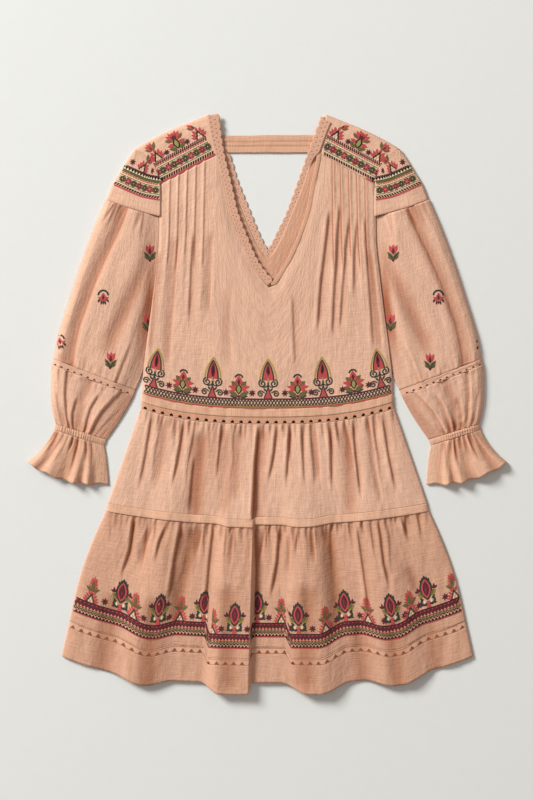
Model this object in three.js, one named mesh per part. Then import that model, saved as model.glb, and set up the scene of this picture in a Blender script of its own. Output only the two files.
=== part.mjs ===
// A peasant dress of cotton gauze, laid flat on its back: V neck, embroidered shoulders, balloon
// sleeves with flared cuffs, and a skirt of two gathered tiers.
// Millimetres. The dress lies on z = 0 with its neck towards +Y; x = 0 is its centre line.
import * as THREE from 'three';

// Driving dimensions
const cloth = 1.2;                  // wall of every cotton piece
const laceWall = 1.0;               // wall of the lace pieces
const seamGap = 0.4;                // clear gap between two pieces that are sewn together
const foldHeight = 1.6;             // middle height of a turned edge, where front becomes back
const frontRest = 1.7;              // underside of the front layer at a side seam
const frontAir = 3.6;               // how far the front stands off the back away from the seams
const waistHalf = 195;              // half widths of the flat dress, from the centre line
const waistBandHalf = 195.6;
const gatherHalf = 197;
const tuckTopHalf = 248.5;
const tuckBottomHalf = 251;
const hemHalf = 320;
const waistDip = 22.8;              // how much lower the waist seam is at its centre than at its ends
const waistSeamY = -8;              // centre height of the bodice's lower edge
const waistBandDepth = 12;
const waistLaceDepth = 11;
const tuckY = -176;                 // centre height of the tuck band's upper edge
const tuckRise = 21;                // how much higher the band is at the sides
const tuckDepth = 11.5;
const hemY = -433;                  // centre height of the hem between the pleats
const hemRise = 41;                 // how much higher the hem's corners are
const hemBandDepth = 45;
const hemLaceDepth = 9.5;
const yokeNeck = [-90, 450.7];        // left shoulder: neck end and sleeve end of the folded edge
const yokeArm = [-207, 395.5];
const neckCorner = [-79, 388];      // where the yoke seam meets the front neck edge
const armCorner = [-168, 341];      // where the yoke seam meets the armhole
const capOuter = [-252, 318];       // lower corners of the left sleeve cap
const capInner = [-168, 291];
const sleeveAir = 8;                // height of the sleeves' air over their folded edges
const strapHalf = 76;
const strapDepth = 27;
const strapY = 391;

// Hem pleats that stand up from the back, as fractions of the half width. Each lowers the hem's edge
// and lifts it; rise and fall are how softly its two sides turn.
const hemPleats = [
  { from: -0.695, rise: 0.12, to: -0.53, fall: 0.125, drop: 11.5, lift: 8 },
  { from: -0.295, rise: 0.07, to: -0.086, fall: 0.016, drop: 17, lift: 10 },
  { from: 0.125, rise: 0.08, to: 0.335, fall: 0.1, drop: 18, lift: 10 },
  { from: 0.545, rise: 0.12, to: 0.735, fall: 0.09, drop: 13.5, lift: 8 },
];

// Largest creases. top and bottom are where a crease crosses the panel's upper and lower edge, in mm
// from the centre line; start and end are how far down the panel it runs.
const tierOneCreases = [
  { top: -129, bottom: -149, start: 0.05, end: 1, width: 8, depth: 2.4 },
  { top: -103, bottom: -122, start: 0.1, end: 1, width: 12, depth: 3.2 },
  { top: -13, bottom: -22, start: 0.05, end: 1, width: 9, depth: 3.2 },
  { top: 35, bottom: 30, start: 0.1, end: 1, width: 8, depth: 2.2 },
  { top: 98, bottom: 101, start: 0.1, end: 1, width: 9, depth: 2.4 },
  { top: 133, bottom: 147, start: 0.05, end: 1, width: 9, depth: 2.6 },
  { top: 179, bottom: 203, start: 0.1, end: 1, width: 9, depth: 2.2 },
];
const tierTwoCreases = [
  { top: -206, bottom: -240, start: 0.02, end: 0.8, width: 10, depth: 2.8 },
  { top: -114, bottom: -140, start: 0.02, end: 1, width: 13, depth: 3.4 },
  { top: -18, bottom: -17, start: 0.02, end: 1, width: 11, depth: 3.2 },
  { top: 19, bottom: 5, start: 0.02, end: 0.8, width: 9, depth: 2.4 },
  { top: 90, bottom: 118, start: 0.02, end: 1, width: 12, depth: 3.2 },
  { top: 212, bottom: 250, start: 0.05, end: 1, width: 12, depth: 2.8 },
];
const sleeveCreases = [
  { route: [[0, 0.38], [0.45, 0.21], [0.75, 0.18], [1, 0.2]], start: 0, end: 1.01, width: 10, depth: 4 },
  { route: [[0.2, 0.95], [0.45, 0.74], [0.75, 0.63], [1, 0.6]], start: 0.15, end: 0.95, width: 11, depth: 3 },
];
const lowerSleeveCreases = [
  { route: [[0, 0.22], [1, 0.3]], start: 0, end: 1.01, width: 9, depth: 3 },
  { route: [[0, 0.5], [1, 0.52]], start: 0.1, end: 1.01, width: 9, depth: 3 },
  { route: [[0, 0.78], [1, 0.72]], start: 0.1, end: 1.01, width: 8, depth: 2.5 },
];
const pintucks = [0.56, 0.645, 0.73, 0.815, 0.9];   // along the half width of the bodice's upper edge
const neckShare = 0.44;             // part of the bodice's half width that rises to the neck edge

// Rows of columns across the pieces, closer where a piece turns
const skirtColumns = mirrored([0.075, 0.095, 0.16, 0.23, 0.3, 0.36, 0.43, 0.5, 0.57, 0.64, 0.71,
  0.79, 0.88, 0.96, 1]);
const bodiceColumns = mirrored([0.11, 0.22, 0.33, 0.44, 0.5, 0.56, 0.6025, 0.645, 0.6875, 0.73,
  0.7725, 0.815, 0.8575, 0.9, 0.95, 0.985, 1]);
const backColumns = mirrored([0.11, 0.22, 0.33, 0.44, 0.72, 1]);
const sleeveColumns = [0.04, 0.12, 0.22, 0.34, 0.47, 0.61, 0.75, 0.88, 0.97];
const ruffleColumns = [0.03, 0.13, 0.24, 0.35, 0.46, 0.57, 0.68, 0.79, 0.9, 0.97];
const foldColumns = [0.06, 0.3, 0.6, 0.85, 1];
const capColumns = [0.16, 0.3, 0.5, 0.75, 1];

// Colours of the gauze, the trim lace and the strips that are turned and pressed
const gauze = { color: 0xe4b294, roughness: 0.9, metalness: 0 };
const lace = { color: 0xd9a184, roughness: 0.95, metalness: 0 };
const binding = { color: 0xe8b99c, roughness: 0.9, metalness: 0 };

const dress = new THREE.Group();

function mirrored(rightSide) {
  return [...rightSide.map((u) => -u).reverse(), 0, ...rightSide];
}

function smooth(low, high, value) {
  return THREE.MathUtils.smoothstep(value, low, high);
}

function mix(a, b, t) {
  return a + (b - a) * t;
}

function mixPoint(a, b, t) {
  return [mix(a[0], b[0], t), mix(a[1], b[1], t)];
}

// A smooth line through a few points, read by its share of length
function curve(points) {
  const spline = new THREE.SplineCurve(points.map(([x, y]) => new THREE.Vector2(x, y)));
  return (share) => spline.getPointAt(share).toArray();
}

// The straight chords of a line, so that the pieces on its two sides keep one gap
function chords(line, count) {
  return Array.from({ length: count + 1 }, (_, i) => line(i / count));
}

// A run of straight stretches. For a share of its length it finds the stretch, and gives a reader of
// that same place on any line with the same corners.
function run(points) {
  const lengths = points.slice(1).map(([x, y], i) => Math.hypot(x - points[i][0], y - points[i][1]));
  const total = lengths.reduce((sum, length) => sum + length);
  return (share) => {
    let left = share * total;
    let stretch = 0;
    while (stretch < lengths.length - 1 && left > lengths[stretch]) {
      left -= lengths[stretch];
      stretch += 1;
    }
    const part = Math.min(1, left / lengths[stretch]);
    return (line) => mixPoint(line[stretch], line[stretch + 1], part);
  };
}

// At each corner of a line, the step to a parallel line 1 mm to its left
function mitres(points) {
  const normals = points.slice(1).map(([x, y], i) => {
    const along = new THREE.Vector2(x - points[i][0], y - points[i][1]).normalize();
    return new THREE.Vector2(-along.y, along.x);
  });
  return points.map((point, i) => {
    const before = normals[Math.max(0, i - 1)];
    const after = normals[Math.min(normals.length - 1, i)];
    const sum = before.clone().add(after);
    return sum.multiplyScalar(1 / (1 + before.dot(after))).toArray();
  });
}

// A closed cloth wall. outer and inner are rows of points, inner the same grid on the wall's other
// face; a ring is a tube, whose last column joins its first.
function wall(outer, inner, ring = false) {
  const rows = outer.length;
  const columns = outer[0].length;
  const positions = [...outer, ...inner].flat(2);
  const indices = [];
  const at = (side, row, column) => (side * rows + row) * columns + (column % columns);
  const quad = (a, b, c, d) => indices.push(a, b, c, a, c, d);
  const lastColumn = ring ? columns : columns - 1;
  for (let row = 0; row < rows - 1; row += 1) {
    for (let column = 0; column < lastColumn; column += 1) {
      quad(at(0, row, column), at(0, row, column + 1), at(0, row + 1, column + 1), at(0, row + 1, column));
      quad(at(1, row, column), at(1, row + 1, column), at(1, row + 1, column + 1), at(1, row, column + 1));
    }
    if (!ring) {
      quad(at(0, row, 0), at(0, row + 1, 0), at(1, row + 1, 0), at(1, row, 0));
      const end = columns - 1;
      quad(at(0, row, end), at(1, row, end), at(1, row + 1, end), at(0, row + 1, end));
    }
  }
  const last = rows - 1;
  for (let column = 0; column < lastColumn; column += 1) {
    quad(at(0, 0, column), at(1, 0, column), at(1, 0, column + 1), at(0, 0, column + 1));
    quad(at(0, last, column), at(0, last, column + 1), at(1, last, column + 1), at(1, last, column));
  }
  const geometry = new THREE.BufferGeometry();
  geometry.setAttribute('position', new THREE.Float32BufferAttribute(positions, 3));
  geometry.setIndex(volume(positions, indices) < 0 ? indices.reverse() : indices);
  geometry.computeVertexNormals();
  return geometry;
}

// Signed volume, which tells whether the faces point out
function volume(positions, indices) {
  const corner = (index) => new THREE.Vector3().fromArray(positions, index * 3);
  let total = 0;
  for (let i = 0; i < indices.length; i += 3) {
    total += corner(indices[i]).dot(corner(indices[i + 1]).cross(corner(indices[i + 2])));
  }
  return total / 6;
}

function add(name, geometry, finish) {
  const mesh = new THREE.Mesh(geometry, new THREE.MeshStandardMaterial(finish));
  mesh.name = name;
  dress.add(mesh);
}

// A single layer: place(u, v) gives x and y, under(u, v, x, y) the height of its underside
function layer(name, columns, rows, place, under, thickness, finish) {
  const top = [];
  const bottom = [];
  for (let row = 0; row <= rows; row += 1) {
    const v = row / rows;
    const points = columns.map((u) => {
      const [x, y] = place(u, v);
      return [x, y, under(u, v, x, y)];
    });
    bottom.push(points);
    top.push(points.map(([x, y, z]) => [x, y, z + thickness]));
  }
  add(name, wall(top, bottom), finish);
}

function pulse(pleat, u) {
  const up = smooth(pleat.from - pleat.rise / 2, pleat.from + pleat.rise / 2, u);
  return up - smooth(pleat.to - pleat.fall / 2, pleat.to + pleat.fall / 2, u);
}

function pleatSum(u, key) {
  return hemPleats.reduce((sum, pleat) => sum + pleat[key] * pulse(pleat, u), 0);
}

// Depth of the creases at x on a panel whose edges are at v = 0 and v = 1
function creaseDepth(creases, x, v) {
  let depth = 0;
  for (const crease of creases) {
    const away = (x - mix(crease.top, crease.bottom, v)) / crease.width;
    const begin = smooth(crease.start - 0.02, crease.start + 0.25, v);
    const finish = 1 - smooth(crease.end - 0.2, crease.end + 0.02, v) * 0.6;
    depth += crease.depth * begin * finish * Math.exp(-away * away);
  }
  return depth;
}

// The front layer turns down to the back at its side seams
function sideRound(u) {
  return Math.sqrt(Math.max(0, 1 - Math.abs(u) ** 24));
}

function waistLine(u, half, centreY) {
  const x = half * u;
  return [x, centreY + waistDip * Math.abs(x / 193) ** 2.7];
}

function tuckLine(u, half, below, pleated) {
  const drop = pleated ? 0.24 * pleatSum(u, 'drop') * (1 - smooth(0.45, 0.55, Math.abs(u))) : 0;
  return [half * u, tuckY - below - drop + tuckRise * Math.abs(u) ** 2.2];
}

function hemLine(u, above, pleated) {
  const drop = pleated ? pleatSum(u, 'drop') : 0;
  const half = hemHalf - above * 0.225;
  return [half * u, hemY + hemRise * Math.abs(u) ** 3.2 + above - drop];
}

// Strips of the skirt, from the waist down: edges for the front (pleated) and the plainer back
function skirtStrips(pleated) {
  const up = seamGap / 2;
  const waistBandY = waistSeamY - waistBandDepth;
  const waistLaceY = waistBandY - waistLaceDepth;
  const hemLaceTop = hemBandDepth + hemLaceDepth;
  const waist = (half, y) => (u) => waistLine(u, half, y);
  const tuck = (half, below) => (u) => tuckLine(u, half, below, pleated);
  const hem = (above) => (u) => hemLine(u, above, pleated);
  return {
    waist_band: [waist(waistHalf, waistSeamY - up), waist(waistBandHalf, waistBandY + up)],
    waist_lace: [waist(waistBandHalf, waistBandY - up), waist(gatherHalf, waistLaceY + up)],
    skirt_tier1: [waist(gatherHalf, waistLaceY - up), tuck(tuckTopHalf, -up)],
    tier_tuck: [tuck(tuckTopHalf, up), tuck(tuckBottomHalf, tuckDepth - up)],
    skirt_tier2: [tuck(tuckBottomHalf, tuckDepth + up), hem(hemLaceTop + up)],
    hem_lace: [hem(hemLaceTop - up), hem(hemBandDepth + up)],
    hem_band: [hem(hemBandDepth - up), hem(0)],
  };
}

// Height of the front skirt's underside. down is 0 at the waist, 1 at the tuck band and 2 at the hem.
function skirtUnder(u, down) {
  const pleats = smooth(0, 2, down) * pleatSum(u, 'lift');
  return frontRest + (frontAir + pleats) * sideRound(u);
}

function skirt() {
  const rows = { skirt_tier1: 3, skirt_tier2: 4 };
  const levels = {
    waist_band: [0, 0], waist_lace: [0, 0], skirt_tier1: [0, 1], tier_tuck: [1, 1.05],
    skirt_tier2: [1.05, 1.8], hem_lace: [1.8, 1.84], hem_band: [1.84, 2],
  };
  const creases = { skirt_tier1: tierOneCreases, skirt_tier2: tierTwoCreases };
  const front = skirtStrips(true);
  const back = skirtStrips(false);
  for (const name of Object.keys(front)) {
    const isLace = name.endsWith('lace');
    const plain = name.endsWith('band') || name.endsWith('tuck');
    const finish = isLace ? lace : plain ? binding : gauze;
    const thickness = isLace ? laceWall : cloth;
    const [above, below] = front[name];
    const [levelTop, levelBottom] = levels[name];
    // Tier sides bow out a little between their seams
    const bow = (u, v) => (name === 'skirt_tier2' ? 7 * Math.sin(Math.PI * v) * u * Math.abs(u) : 0);
    layer(`${name}_front`, skirtColumns, rows[name] ?? 1, (u, v) => {
      const [x, y] = mixPoint(above(u), below(u), v);
      return [x + bow(u, v), y];
    }, (u, v, x) => {
      const creased = creaseDepth(creases[name] ?? [], x, v) * sideRound(u);
      return Math.max(frontRest, skirtUnder(u, mix(levelTop, levelBottom, v)) - creased);
    }, thickness, finish);
    const [backAbove, backBelow] = back[name];
    layer(`${name}_back`, backColumns, name === 'skirt_tier2' ? 3 : 1, (u, v) => {
      const [x, y] = mixPoint(backAbove(u), backBelow(u), v);
      return [x + bow(u, v), y];
    }, () => 0, thickness, finish);
  }
}

// Neck edges, from the yoke seam down to the point of the V
const neckChords = 4;
const frontNeckLeft = chords(curve([neckCorner, [-66, 333], [-58, 297], [-42.5, 256], [-28, 222],
  [-15, 202], [2, 181]]), neckChords);
const frontNeckRight = chords(curve([[2, 181], [14, 187], [26, 204], [40, 229], [52, 256], [66, 296],
  [73, 333], [84, 388]]), neckChords);
const backNeck = chords(curve([[-84, 405], [-68, 381], [-58, 349], [-48, 323], [-37, 296], [-26, 269],
  [-12, 240], [0, 227]]), neckChords);
const frontSide = curve([[-195, 15.6], [-194, 41], [-189.5, 83], [-181, 146], [-173, 208], [-167.5, 250],
  [-167, 291], armCorner]);
const backSide = curve([[-195, 15.6], [-186, 50], [-176, 83], [-166, 146], [-160, 208], [-157, 250],
  [-160, 300], [-176, 356]]);

// A bodice panel is ruled from the waist up to its upper boundary and pulled to its side edges
function bodicePlace(upper, side) {
  return (u, v) => {
    const foot = waistLine(u, waistHalf, waistSeamY + seamGap / 2);
    const head = upper(u);
    const [x, y] = mixPoint(foot, head, v);
    const corner = waistLine(1, waistHalf, waistSeamY + seamGap / 2);
    const sideHead = upper(Math.sign(u) || 1);
    const [sideX, sideY] = side(v);
    const pull = Math.abs(u) ** 4;
    const ruled = mixPoint(corner, [Math.abs(sideHead[0]), sideHead[1]], v);
    return [x + Math.sign(u) * (-sideX - ruled[0]) * pull, y + (sideY - ruled[1]) * pull];
  };
}

function frontUpper(u) {
  const size = Math.abs(u);
  if (size > neckShare) {
    const share = (size - neckShare) / (1 - neckShare);
    const [x, y] = mixPoint(u < 0 ? neckCorner : [-84, 388], armCorner, share);
    return [u < 0 ? x : -x, y - seamGap / 2];
  }
  const chord = Math.round((size / neckShare) * neckChords);
  return u < 0 ? frontNeckLeft[neckChords - chord] : frontNeckRight[chord];
}

function backUpper(u) {
  const size = Math.abs(u);
  const [x, y] = size > neckShare
    ? mixPoint([-84, 405], [-176, 356], (size - neckShare) / (1 - neckShare))
    : backNeck[neckChords - Math.round((size / neckShare) * neckChords)];
  return [u < 0 ? x : -x, y - (size > neckShare ? seamGap : 0)];
}

function bodice() {
  layer('bodice_front', bodiceColumns, 6, bodicePlace(frontUpper, frontSide), (u, v, x, y) => {
    const low = frontRest + frontAir * sideRound(u);
    const rest = mix(low, frontRest + frontAir, smooth(10, 60, y)) - 1.3 * smooth(0.85, 1, v);
    const nearest = Math.min(...pintucks.map((tuck) => Math.abs(Math.abs(u) - tuck)));
    const tuck = 1.4 * Math.max(0, 1 - nearest / 0.04) * smooth(0.6, 0.75, v);
    const reach = Math.sin(v * Math.PI) * (1 - v) * smooth(0.3, 0.5, Math.abs(u)) * (1 - u ** 8);
    return rest + tuck + 1.1 * Math.cos(u * 19) * reach;
  }, cloth, gauze);
  layer('bodice_back', backColumns, 4, bodicePlace(backUpper, backSide), () => 0, cloth, gauze);
}

// Cross section of a tube or a folded flap at one row. Front columns run from the folded edge at
// s = 0; a tube comes back under itself, a flap is open along its far edge.
function foldedRow(columns, frontAt, backAt, topAt, tube) {
  const start = frontAt(0);
  const towards = frontAt(columns[0]);
  const stepIn = (point, next) => {
    const length = Math.hypot(next[0] - point[0], next[1] - point[1]);
    return mixPoint(point, next, (1.25 * cloth) / length);
  };
  const outer = [];
  const inner = [];
  const turn = (point, next) => {
    outer.push([...point, foldHeight]);
    inner.push([...stepIn(point, next), foldHeight]);
  };
  turn(start, towards);
  for (const s of columns) {
    outer.push([...frontAt(s), topAt(s)]);
    inner.push([...frontAt(s), topAt(s) - cloth]);
  }
  if (tube) {
    turn(frontAt(1), frontAt(columns[columns.length - 1]));
  }
  const under = [...columns].reverse().map((s) => backAt(s));
  const underOuter = under.map((point) => [...point, 0]);
  const underInner = under.map((point) => [...point, cloth]);
  if (tube) {
    return [[...outer, ...underOuter], [...inner, ...underInner]];
  }
  return [[...underOuter, ...outer], [...underInner, ...inner]];
}

// A tube or a flap made of such rows. mirror is -1 for the right side of the dress.
function folded(name, columns, rows, { frontAt, backAt, topAt, tube }, mirror, finish) {
  const outer = [];
  const inner = [];
  const turned = ([x, y, z]) => [mirror * x, y, z];
  for (let row = 0; row <= rows; row += 1) {
    const at = (place) => (s) => place(s, row / rows);
    const [outerRow, innerRow] = foldedRow(columns, at(frontAt), at(backAt), at(topAt), tube);
    outer.push(outerRow.map(turned));
    inner.push(innerRow.map(turned));
  }
  add(name, wall(outer, inner, tube), finish);
}

function yoke(side, mirror) {
  const neckX = mirror < 0 ? 5 : 0;
  const shoulder = curve([yokeNeck, [-149, 427], [-187, 408], yokeArm]);
  const armEnd = [armCorner[0] - 0.3, armCorner[1] + 0.3];
  const armSide = curve([yokeArm, [-198.6, 392.2], [-178, 373.2], armEnd]);
  const seam = (v) => mixPoint([neckCorner[0] - neckX, neckCorner[1]], armCorner, v);
  const frontAt = (s, v) => {
    const [x, y] = mixPoint(shoulder(v), seam(v), s);
    const [armX, armY] = armSide(s);
    const [ruledX, ruledY] = mixPoint(yokeArm, seam(1), s);
    const pull = v ** 3;
    return [x + (armX - ruledX) * pull, y + (armY - ruledY) * pull + seamGap / 2 * s];
  };
  const backSeam = (v) => mixPoint([-84, 405], [-176, 356], v);
  const backAt = (s, v) => {
    const [x, y] = mixPoint(shoulder(v), backSeam(v), s);
    return [x, y + seamGap / 2 * s];
  };
  const topAt = (s) => 3.4 + 1.8 * s;
  folded(`yoke_${side}`, foldColumns, 6, { frontAt, backAt, topAt, tube: false }, mirror, gauze);
}

function sleeveCap(side, mirror) {
  const outer = curve([[-209.2, 393], [-221, 376], [-230, 362], [-243, 341], capOuter]);
  const inner = curve([[-200.4, 390.6], [-179.8, 371.4], [-169.4, 340.6], capInner]);
  const innerBack = curve([[-203, 388.2], [-185.6, 365.6], [-177, 345], [-163, 291]]);
  const ruledTo = (innerEdge) => (s, v) => {
    const [x, y] = mixPoint(outer(v), innerEdge(v), s);
    return [x, y - 2 * Math.sin(Math.PI * s) * v * v + seamGap / 2 * v];
  };
  const topAt = (s, v) => 3.4 + (1.8 + 2.2 * v * v) * Math.min(1, s * 4);
  const shape = { frontAt: ruledTo(inner), backAt: ruledTo(innerBack), topAt, tube: false };
  folded(`sleeve_cap_${side}`, capColumns, 6, shape, mirror, gauze);
}

// Position of a crease that follows a route of [down, across] points
function routeAt(route, v) {
  for (let i = 1; i < route.length; i += 1) {
    if (v <= route[i][0] || i === route.length - 1) {
      const [startV, startS] = route[i - 1];
      const [endV, endS] = route[i];
      return mix(startS, endS, smooth(0, 1, THREE.MathUtils.clamp((v - startV) / (endV - startV), 0, 1)));
    }
  }
  return route[0][1];
}

function sleeve(side, mirror) {
  const laceTop = [[-332.5, 70], [-205.5, 21]];       // corners of the rows, outer then inner
  const laceEnd = [[-335.5, 61], [-208.5, 12]];
  const casingTop = [[-329.8, -30.5], [-250.5, -55.5]];
  const casingEnd = [[-331.5, -40], [-254, -65]];
  const upperOuter = curve([capOuter, [-271, 273], [-292, 216], [-310, 160], [-327, 104], laceTop[0]]);
  const upperInner = curve([capInner, [-167, 250], [-168, 208], [-173, 146], [-184, 83], [-197, 41],
    laceTop[1]]);
  const lowerOuter = curve([laceEnd[0], [-337, 30], [-335.5, -5], casingTop[0]]);
  const lowerInner = curve([laceEnd[1], [-222, -13], [-236, -35], casingTop[1]]);
  const ruffleOuter = curve([casingEnd[0], [-341, -58], [-357, -78], [-373, -92]]);
  const ruffleInner = curve([casingEnd[1], [-250.5, -87], [-247, -124]]);
  const straight = (top, end, side) => (v) => mixPoint(top[side], end[side], v);
  // Air inside: quick at the outer fold, slow at the inner one, which goes under the bodice
  const air = (s, width) => Math.min(1, Math.sqrt(s * width / 12)) * smooth(2, 38, (1 - s) * width);
  const stretches = [
    { name: 'sleeve_upper', outer: upperOuter, inner: upperInner, rows: 6, high: [6.5, sleeveAir],
      creases: sleeveCreases, finish: gauze },
    { name: 'sleeve_lace', outer: straight(laceTop, laceEnd, 0), inner: straight(laceTop, laceEnd, 1),
      rows: 1, high: [sleeveAir, sleeveAir], creases: [], finish: lace },
    { name: 'sleeve_lower', outer: lowerOuter, inner: lowerInner, rows: 3, high: [sleeveAir, 5],
      creases: lowerSleeveCreases, finish: gauze },
    { name: 'cuff_casing', outer: straight(casingTop, casingEnd, 0), inner: straight(casingTop, casingEnd, 1),
      rows: 1, high: [5, 5], creases: [], finish: gauze },
    { name: 'cuff_ruffle', outer: ruffleOuter, inner: ruffleInner, rows: 3, high: [4.5, 8],
      creases: [], finish: gauze },
  ];
  for (const { name, outer, inner, rows, high, creases, finish } of stretches) {
    const isRuffle = name === 'cuff_ruffle';
    const placeAt = (s, v) => {
      const [x, y] = mixPoint(outer(v), inner(v), s);
      const bend = Math.sin(Math.PI * s);
      const bow = isRuffle ? 12 * bend * v * v : 0;
      const capBow = name === 'sleeve_upper' ? 2 * bend * (1 - v) ** 2 : 0;
      return [x, y - bow - capBow + seamGap * (v - 0.5)];
    };
    const topAt = (s, v) => {
      const [outerX, outerY] = outer(v);
      const [innerX, innerY] = inner(v);
      const width = Math.hypot(outerX - innerX, outerY - innerY);
      let height = mix(high[0], high[1], v) * air(s, width);
      for (const crease of creases) {
        const away = (s - routeAt(crease.route, v)) * width / crease.width;
        const begin = smooth(crease.start - 0.02, crease.start + 0.2, v);
        const fade = 1 - smooth(crease.end - 0.3, crease.end, v);
        height -= crease.depth * begin * fade * Math.exp(-away * away) * air(s, width);
      }
      if (isRuffle) {
        height += 2.2 * v * Math.sin(s * 29) * air(s, width);
      }
      return 3.2 + Math.max(0, height);
    };
    const columns = isRuffle ? ruffleColumns : sleeveColumns;
    const shape = { frontAt: placeAt, backAt: placeAt, topAt, tube: true };
    folded(`${name}_${side}`, columns, rows, shape, mirror, finish);
  }
}

// Trim to the left of a neck edge, widthAt(column) wide, mitred where the edge turns
function neckStrip(name, edge, columns, widthAt, rest, finish) {
  const atShare = run(edge);
  const steps = mitres(edge);
  const sewn = [];
  const free = [];
  for (let column = 0; column <= columns; column += 1) {
    const along = atShare(column / columns);
    const [x, y] = along(edge);
    const [stepX, stepY] = along(steps);
    const width = widthAt(column, column / columns);
    sewn.push([x + stepX * seamGap, y + stepY * seamGap, rest]);
    free.push([x + stepX * width, y + stepY * width, rest]);
  }
  const lift = (row) => row.map(([x, y, z]) => [x, y, z + laceWall]);
  add(name, wall([lift(sewn), lift(free)], [sewn, free]), finish);
}

function neckTrims() {
  const leftEnd = mixPoint(...frontNeckLeft.slice(-2), 0.92);
  const leftEdge = [[-89, 449], ...frontNeckLeft.slice(0, -1), leftEnd];
  const leftScallop = (column, share) => (column % 2 ? 12.5 : 10.2) * (1 - 0.5 * smooth(0.93, 1, share));
  neckStrip('neck_lace_front_left', leftEdge, 44, leftScallop, 4, lace);
  const rightStart = mixPoint(...frontNeckRight.slice(0, 2), 0.2);
  const rightEdge = [rightStart, ...frontNeckRight.slice(1), [89.3, 446]];
  neckStrip('neck_band_front_right', rightEdge, 24, () => 7, 4, binding);
  const backRight = backNeck.map(([x, y]) => [-x, y]).reverse().slice(1);
  const backEdge = [[-88, 444], ...backNeck, ...backRight, [88, 444]];
  const endTaper = (share) => smooth(0, 0.05, share) * smooth(0, 0.05, 1 - share);
  const backScallop = (column, share) => (column % 2 ? 11 : 9) * (0.45 + 0.55 * endTaper(share));
  neckStrip('neck_lace_back', backEdge, 72, backScallop, 0, lace);
  const strapPlace = (u, v) => [u * strapHalf + 2, strapY + strapDepth * v];
  layer('neck_strap', [-1, -0.5, 0, 0.5, 1], 1, strapPlace, () => foldHeight, cloth, binding);
}

bodice();
skirt();
for (const [side, mirror] of [['left', 1], ['right', -1]]) {
  yoke(side, mirror);
  sleeveCap(side, mirror);
  sleeve(side, mirror);
}
neckTrims();

export default dress;
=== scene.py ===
import math

import bmesh
import bpy
import numpy as np
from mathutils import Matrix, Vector
from mathutils.bvhtree import BVHTree


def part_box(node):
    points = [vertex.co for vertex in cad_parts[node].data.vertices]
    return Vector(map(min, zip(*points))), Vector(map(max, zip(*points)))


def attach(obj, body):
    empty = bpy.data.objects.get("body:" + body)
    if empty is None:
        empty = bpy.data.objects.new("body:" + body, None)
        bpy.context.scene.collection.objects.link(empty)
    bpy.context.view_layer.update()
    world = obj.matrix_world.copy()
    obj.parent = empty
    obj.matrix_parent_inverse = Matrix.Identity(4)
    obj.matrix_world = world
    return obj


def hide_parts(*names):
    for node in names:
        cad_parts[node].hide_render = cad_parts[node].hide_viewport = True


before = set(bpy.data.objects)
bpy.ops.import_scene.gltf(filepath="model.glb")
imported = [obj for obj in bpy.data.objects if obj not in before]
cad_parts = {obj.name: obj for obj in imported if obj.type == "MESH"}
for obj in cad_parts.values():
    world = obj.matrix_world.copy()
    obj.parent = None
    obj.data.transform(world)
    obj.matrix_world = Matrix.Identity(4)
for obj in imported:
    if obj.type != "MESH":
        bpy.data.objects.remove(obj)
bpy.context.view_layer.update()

# The dress lies on its back on the floor, z = 0, with its neck towards +Y. Shapes are worked out in
# millimetres and written in metres.
mm = 0.001
pi = math.pi


def boxOf(nodeName):
    low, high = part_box(nodeName)
    return [value / mm for value in (low[0], low[1], low[2], high[0], high[1], high[2])]


def smooth(low, high, value):
    t = np.clip((value - low) / (high - low), 0, 1)
    return t * t * (3 - 2 * t)


def mix(a, b, t):
    return a + (b - a) * t


def bell(value):
    return np.exp(-value * value)


# A smooth line through a few points, read by its share of length
def curve(points):
    ends = np.array([points[0], *points, points[-1]], float)
    t = np.linspace(0, len(points) - 1, 30 * (len(points) - 1) + 1)
    i = np.minimum(t.astype(int), len(points) - 2)
    w = (t - i)[:, None]
    before, start, end, after = (ends[i + k] for k in range(4))
    leave, arrive = (end - before) / 2, (after - start) / 2
    line = start + leave * w + (3 * (end - start) - 2 * leave - arrive) * w ** 2
    line += (2 * (start - end) + leave + arrive) * w ** 3
    steps = np.hypot(*np.diff(line, axis=0).T)
    share = np.concatenate([[0], np.cumsum(steps)]) / steps.sum()
    return lambda at: (np.interp(at, share, line[:, 0]), np.interp(at, share, line[:, 1]))


def between(first, second, t):
    return mix(first[0], second[0], t), mix(first[1], second[1], t)


# Place on a path at a share of its length, and the direction to its left there
def pathFrame(path, at, step=0.02):
    x, y = path(at)
    aheadX, aheadY = path(np.minimum(1, at + step))
    behindX, behindY = path(np.maximum(0, at - step))
    length = np.hypot(aheadX - behindX, aheadY - behindY)
    return x, y, -(aheadY - behindY) / length, (aheadX - behindX) / length


# Soft noise from -1 to 1 on a lattice of the given cell, the same on each run
def softNoise(x, y, cellX, cellY, seed):
    table = np.random.default_rng(seed).uniform(-1, 1, (128, 128))
    gx, gy = x / cellX + 60, y / cellY + 60
    ix, iy = np.floor(gx).astype(int), np.floor(gy).astype(int)
    fx, fy = gx - ix, gy - iy
    fx, fy = fx * fx * (3 - 2 * fx), fy * fy * (3 - 2 * fy)
    at = lambda dx, dy: table[(ix + dx) % 128, (iy + dy) % 128]
    return mix(mix(at(0, 0), at(1, 0), fx), mix(at(0, 1), at(1, 1), fx), fy)


print("stage: materials")


def linear(hexColour):
    parts = [int(hexColour[i:i + 2], 16) / 255 for i in (1, 3, 5)]
    return [c / 12.92 if c <= 0.04045 else ((c + 0.055) / 1.055) ** 2.4 for c in parts] + [1]


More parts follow.
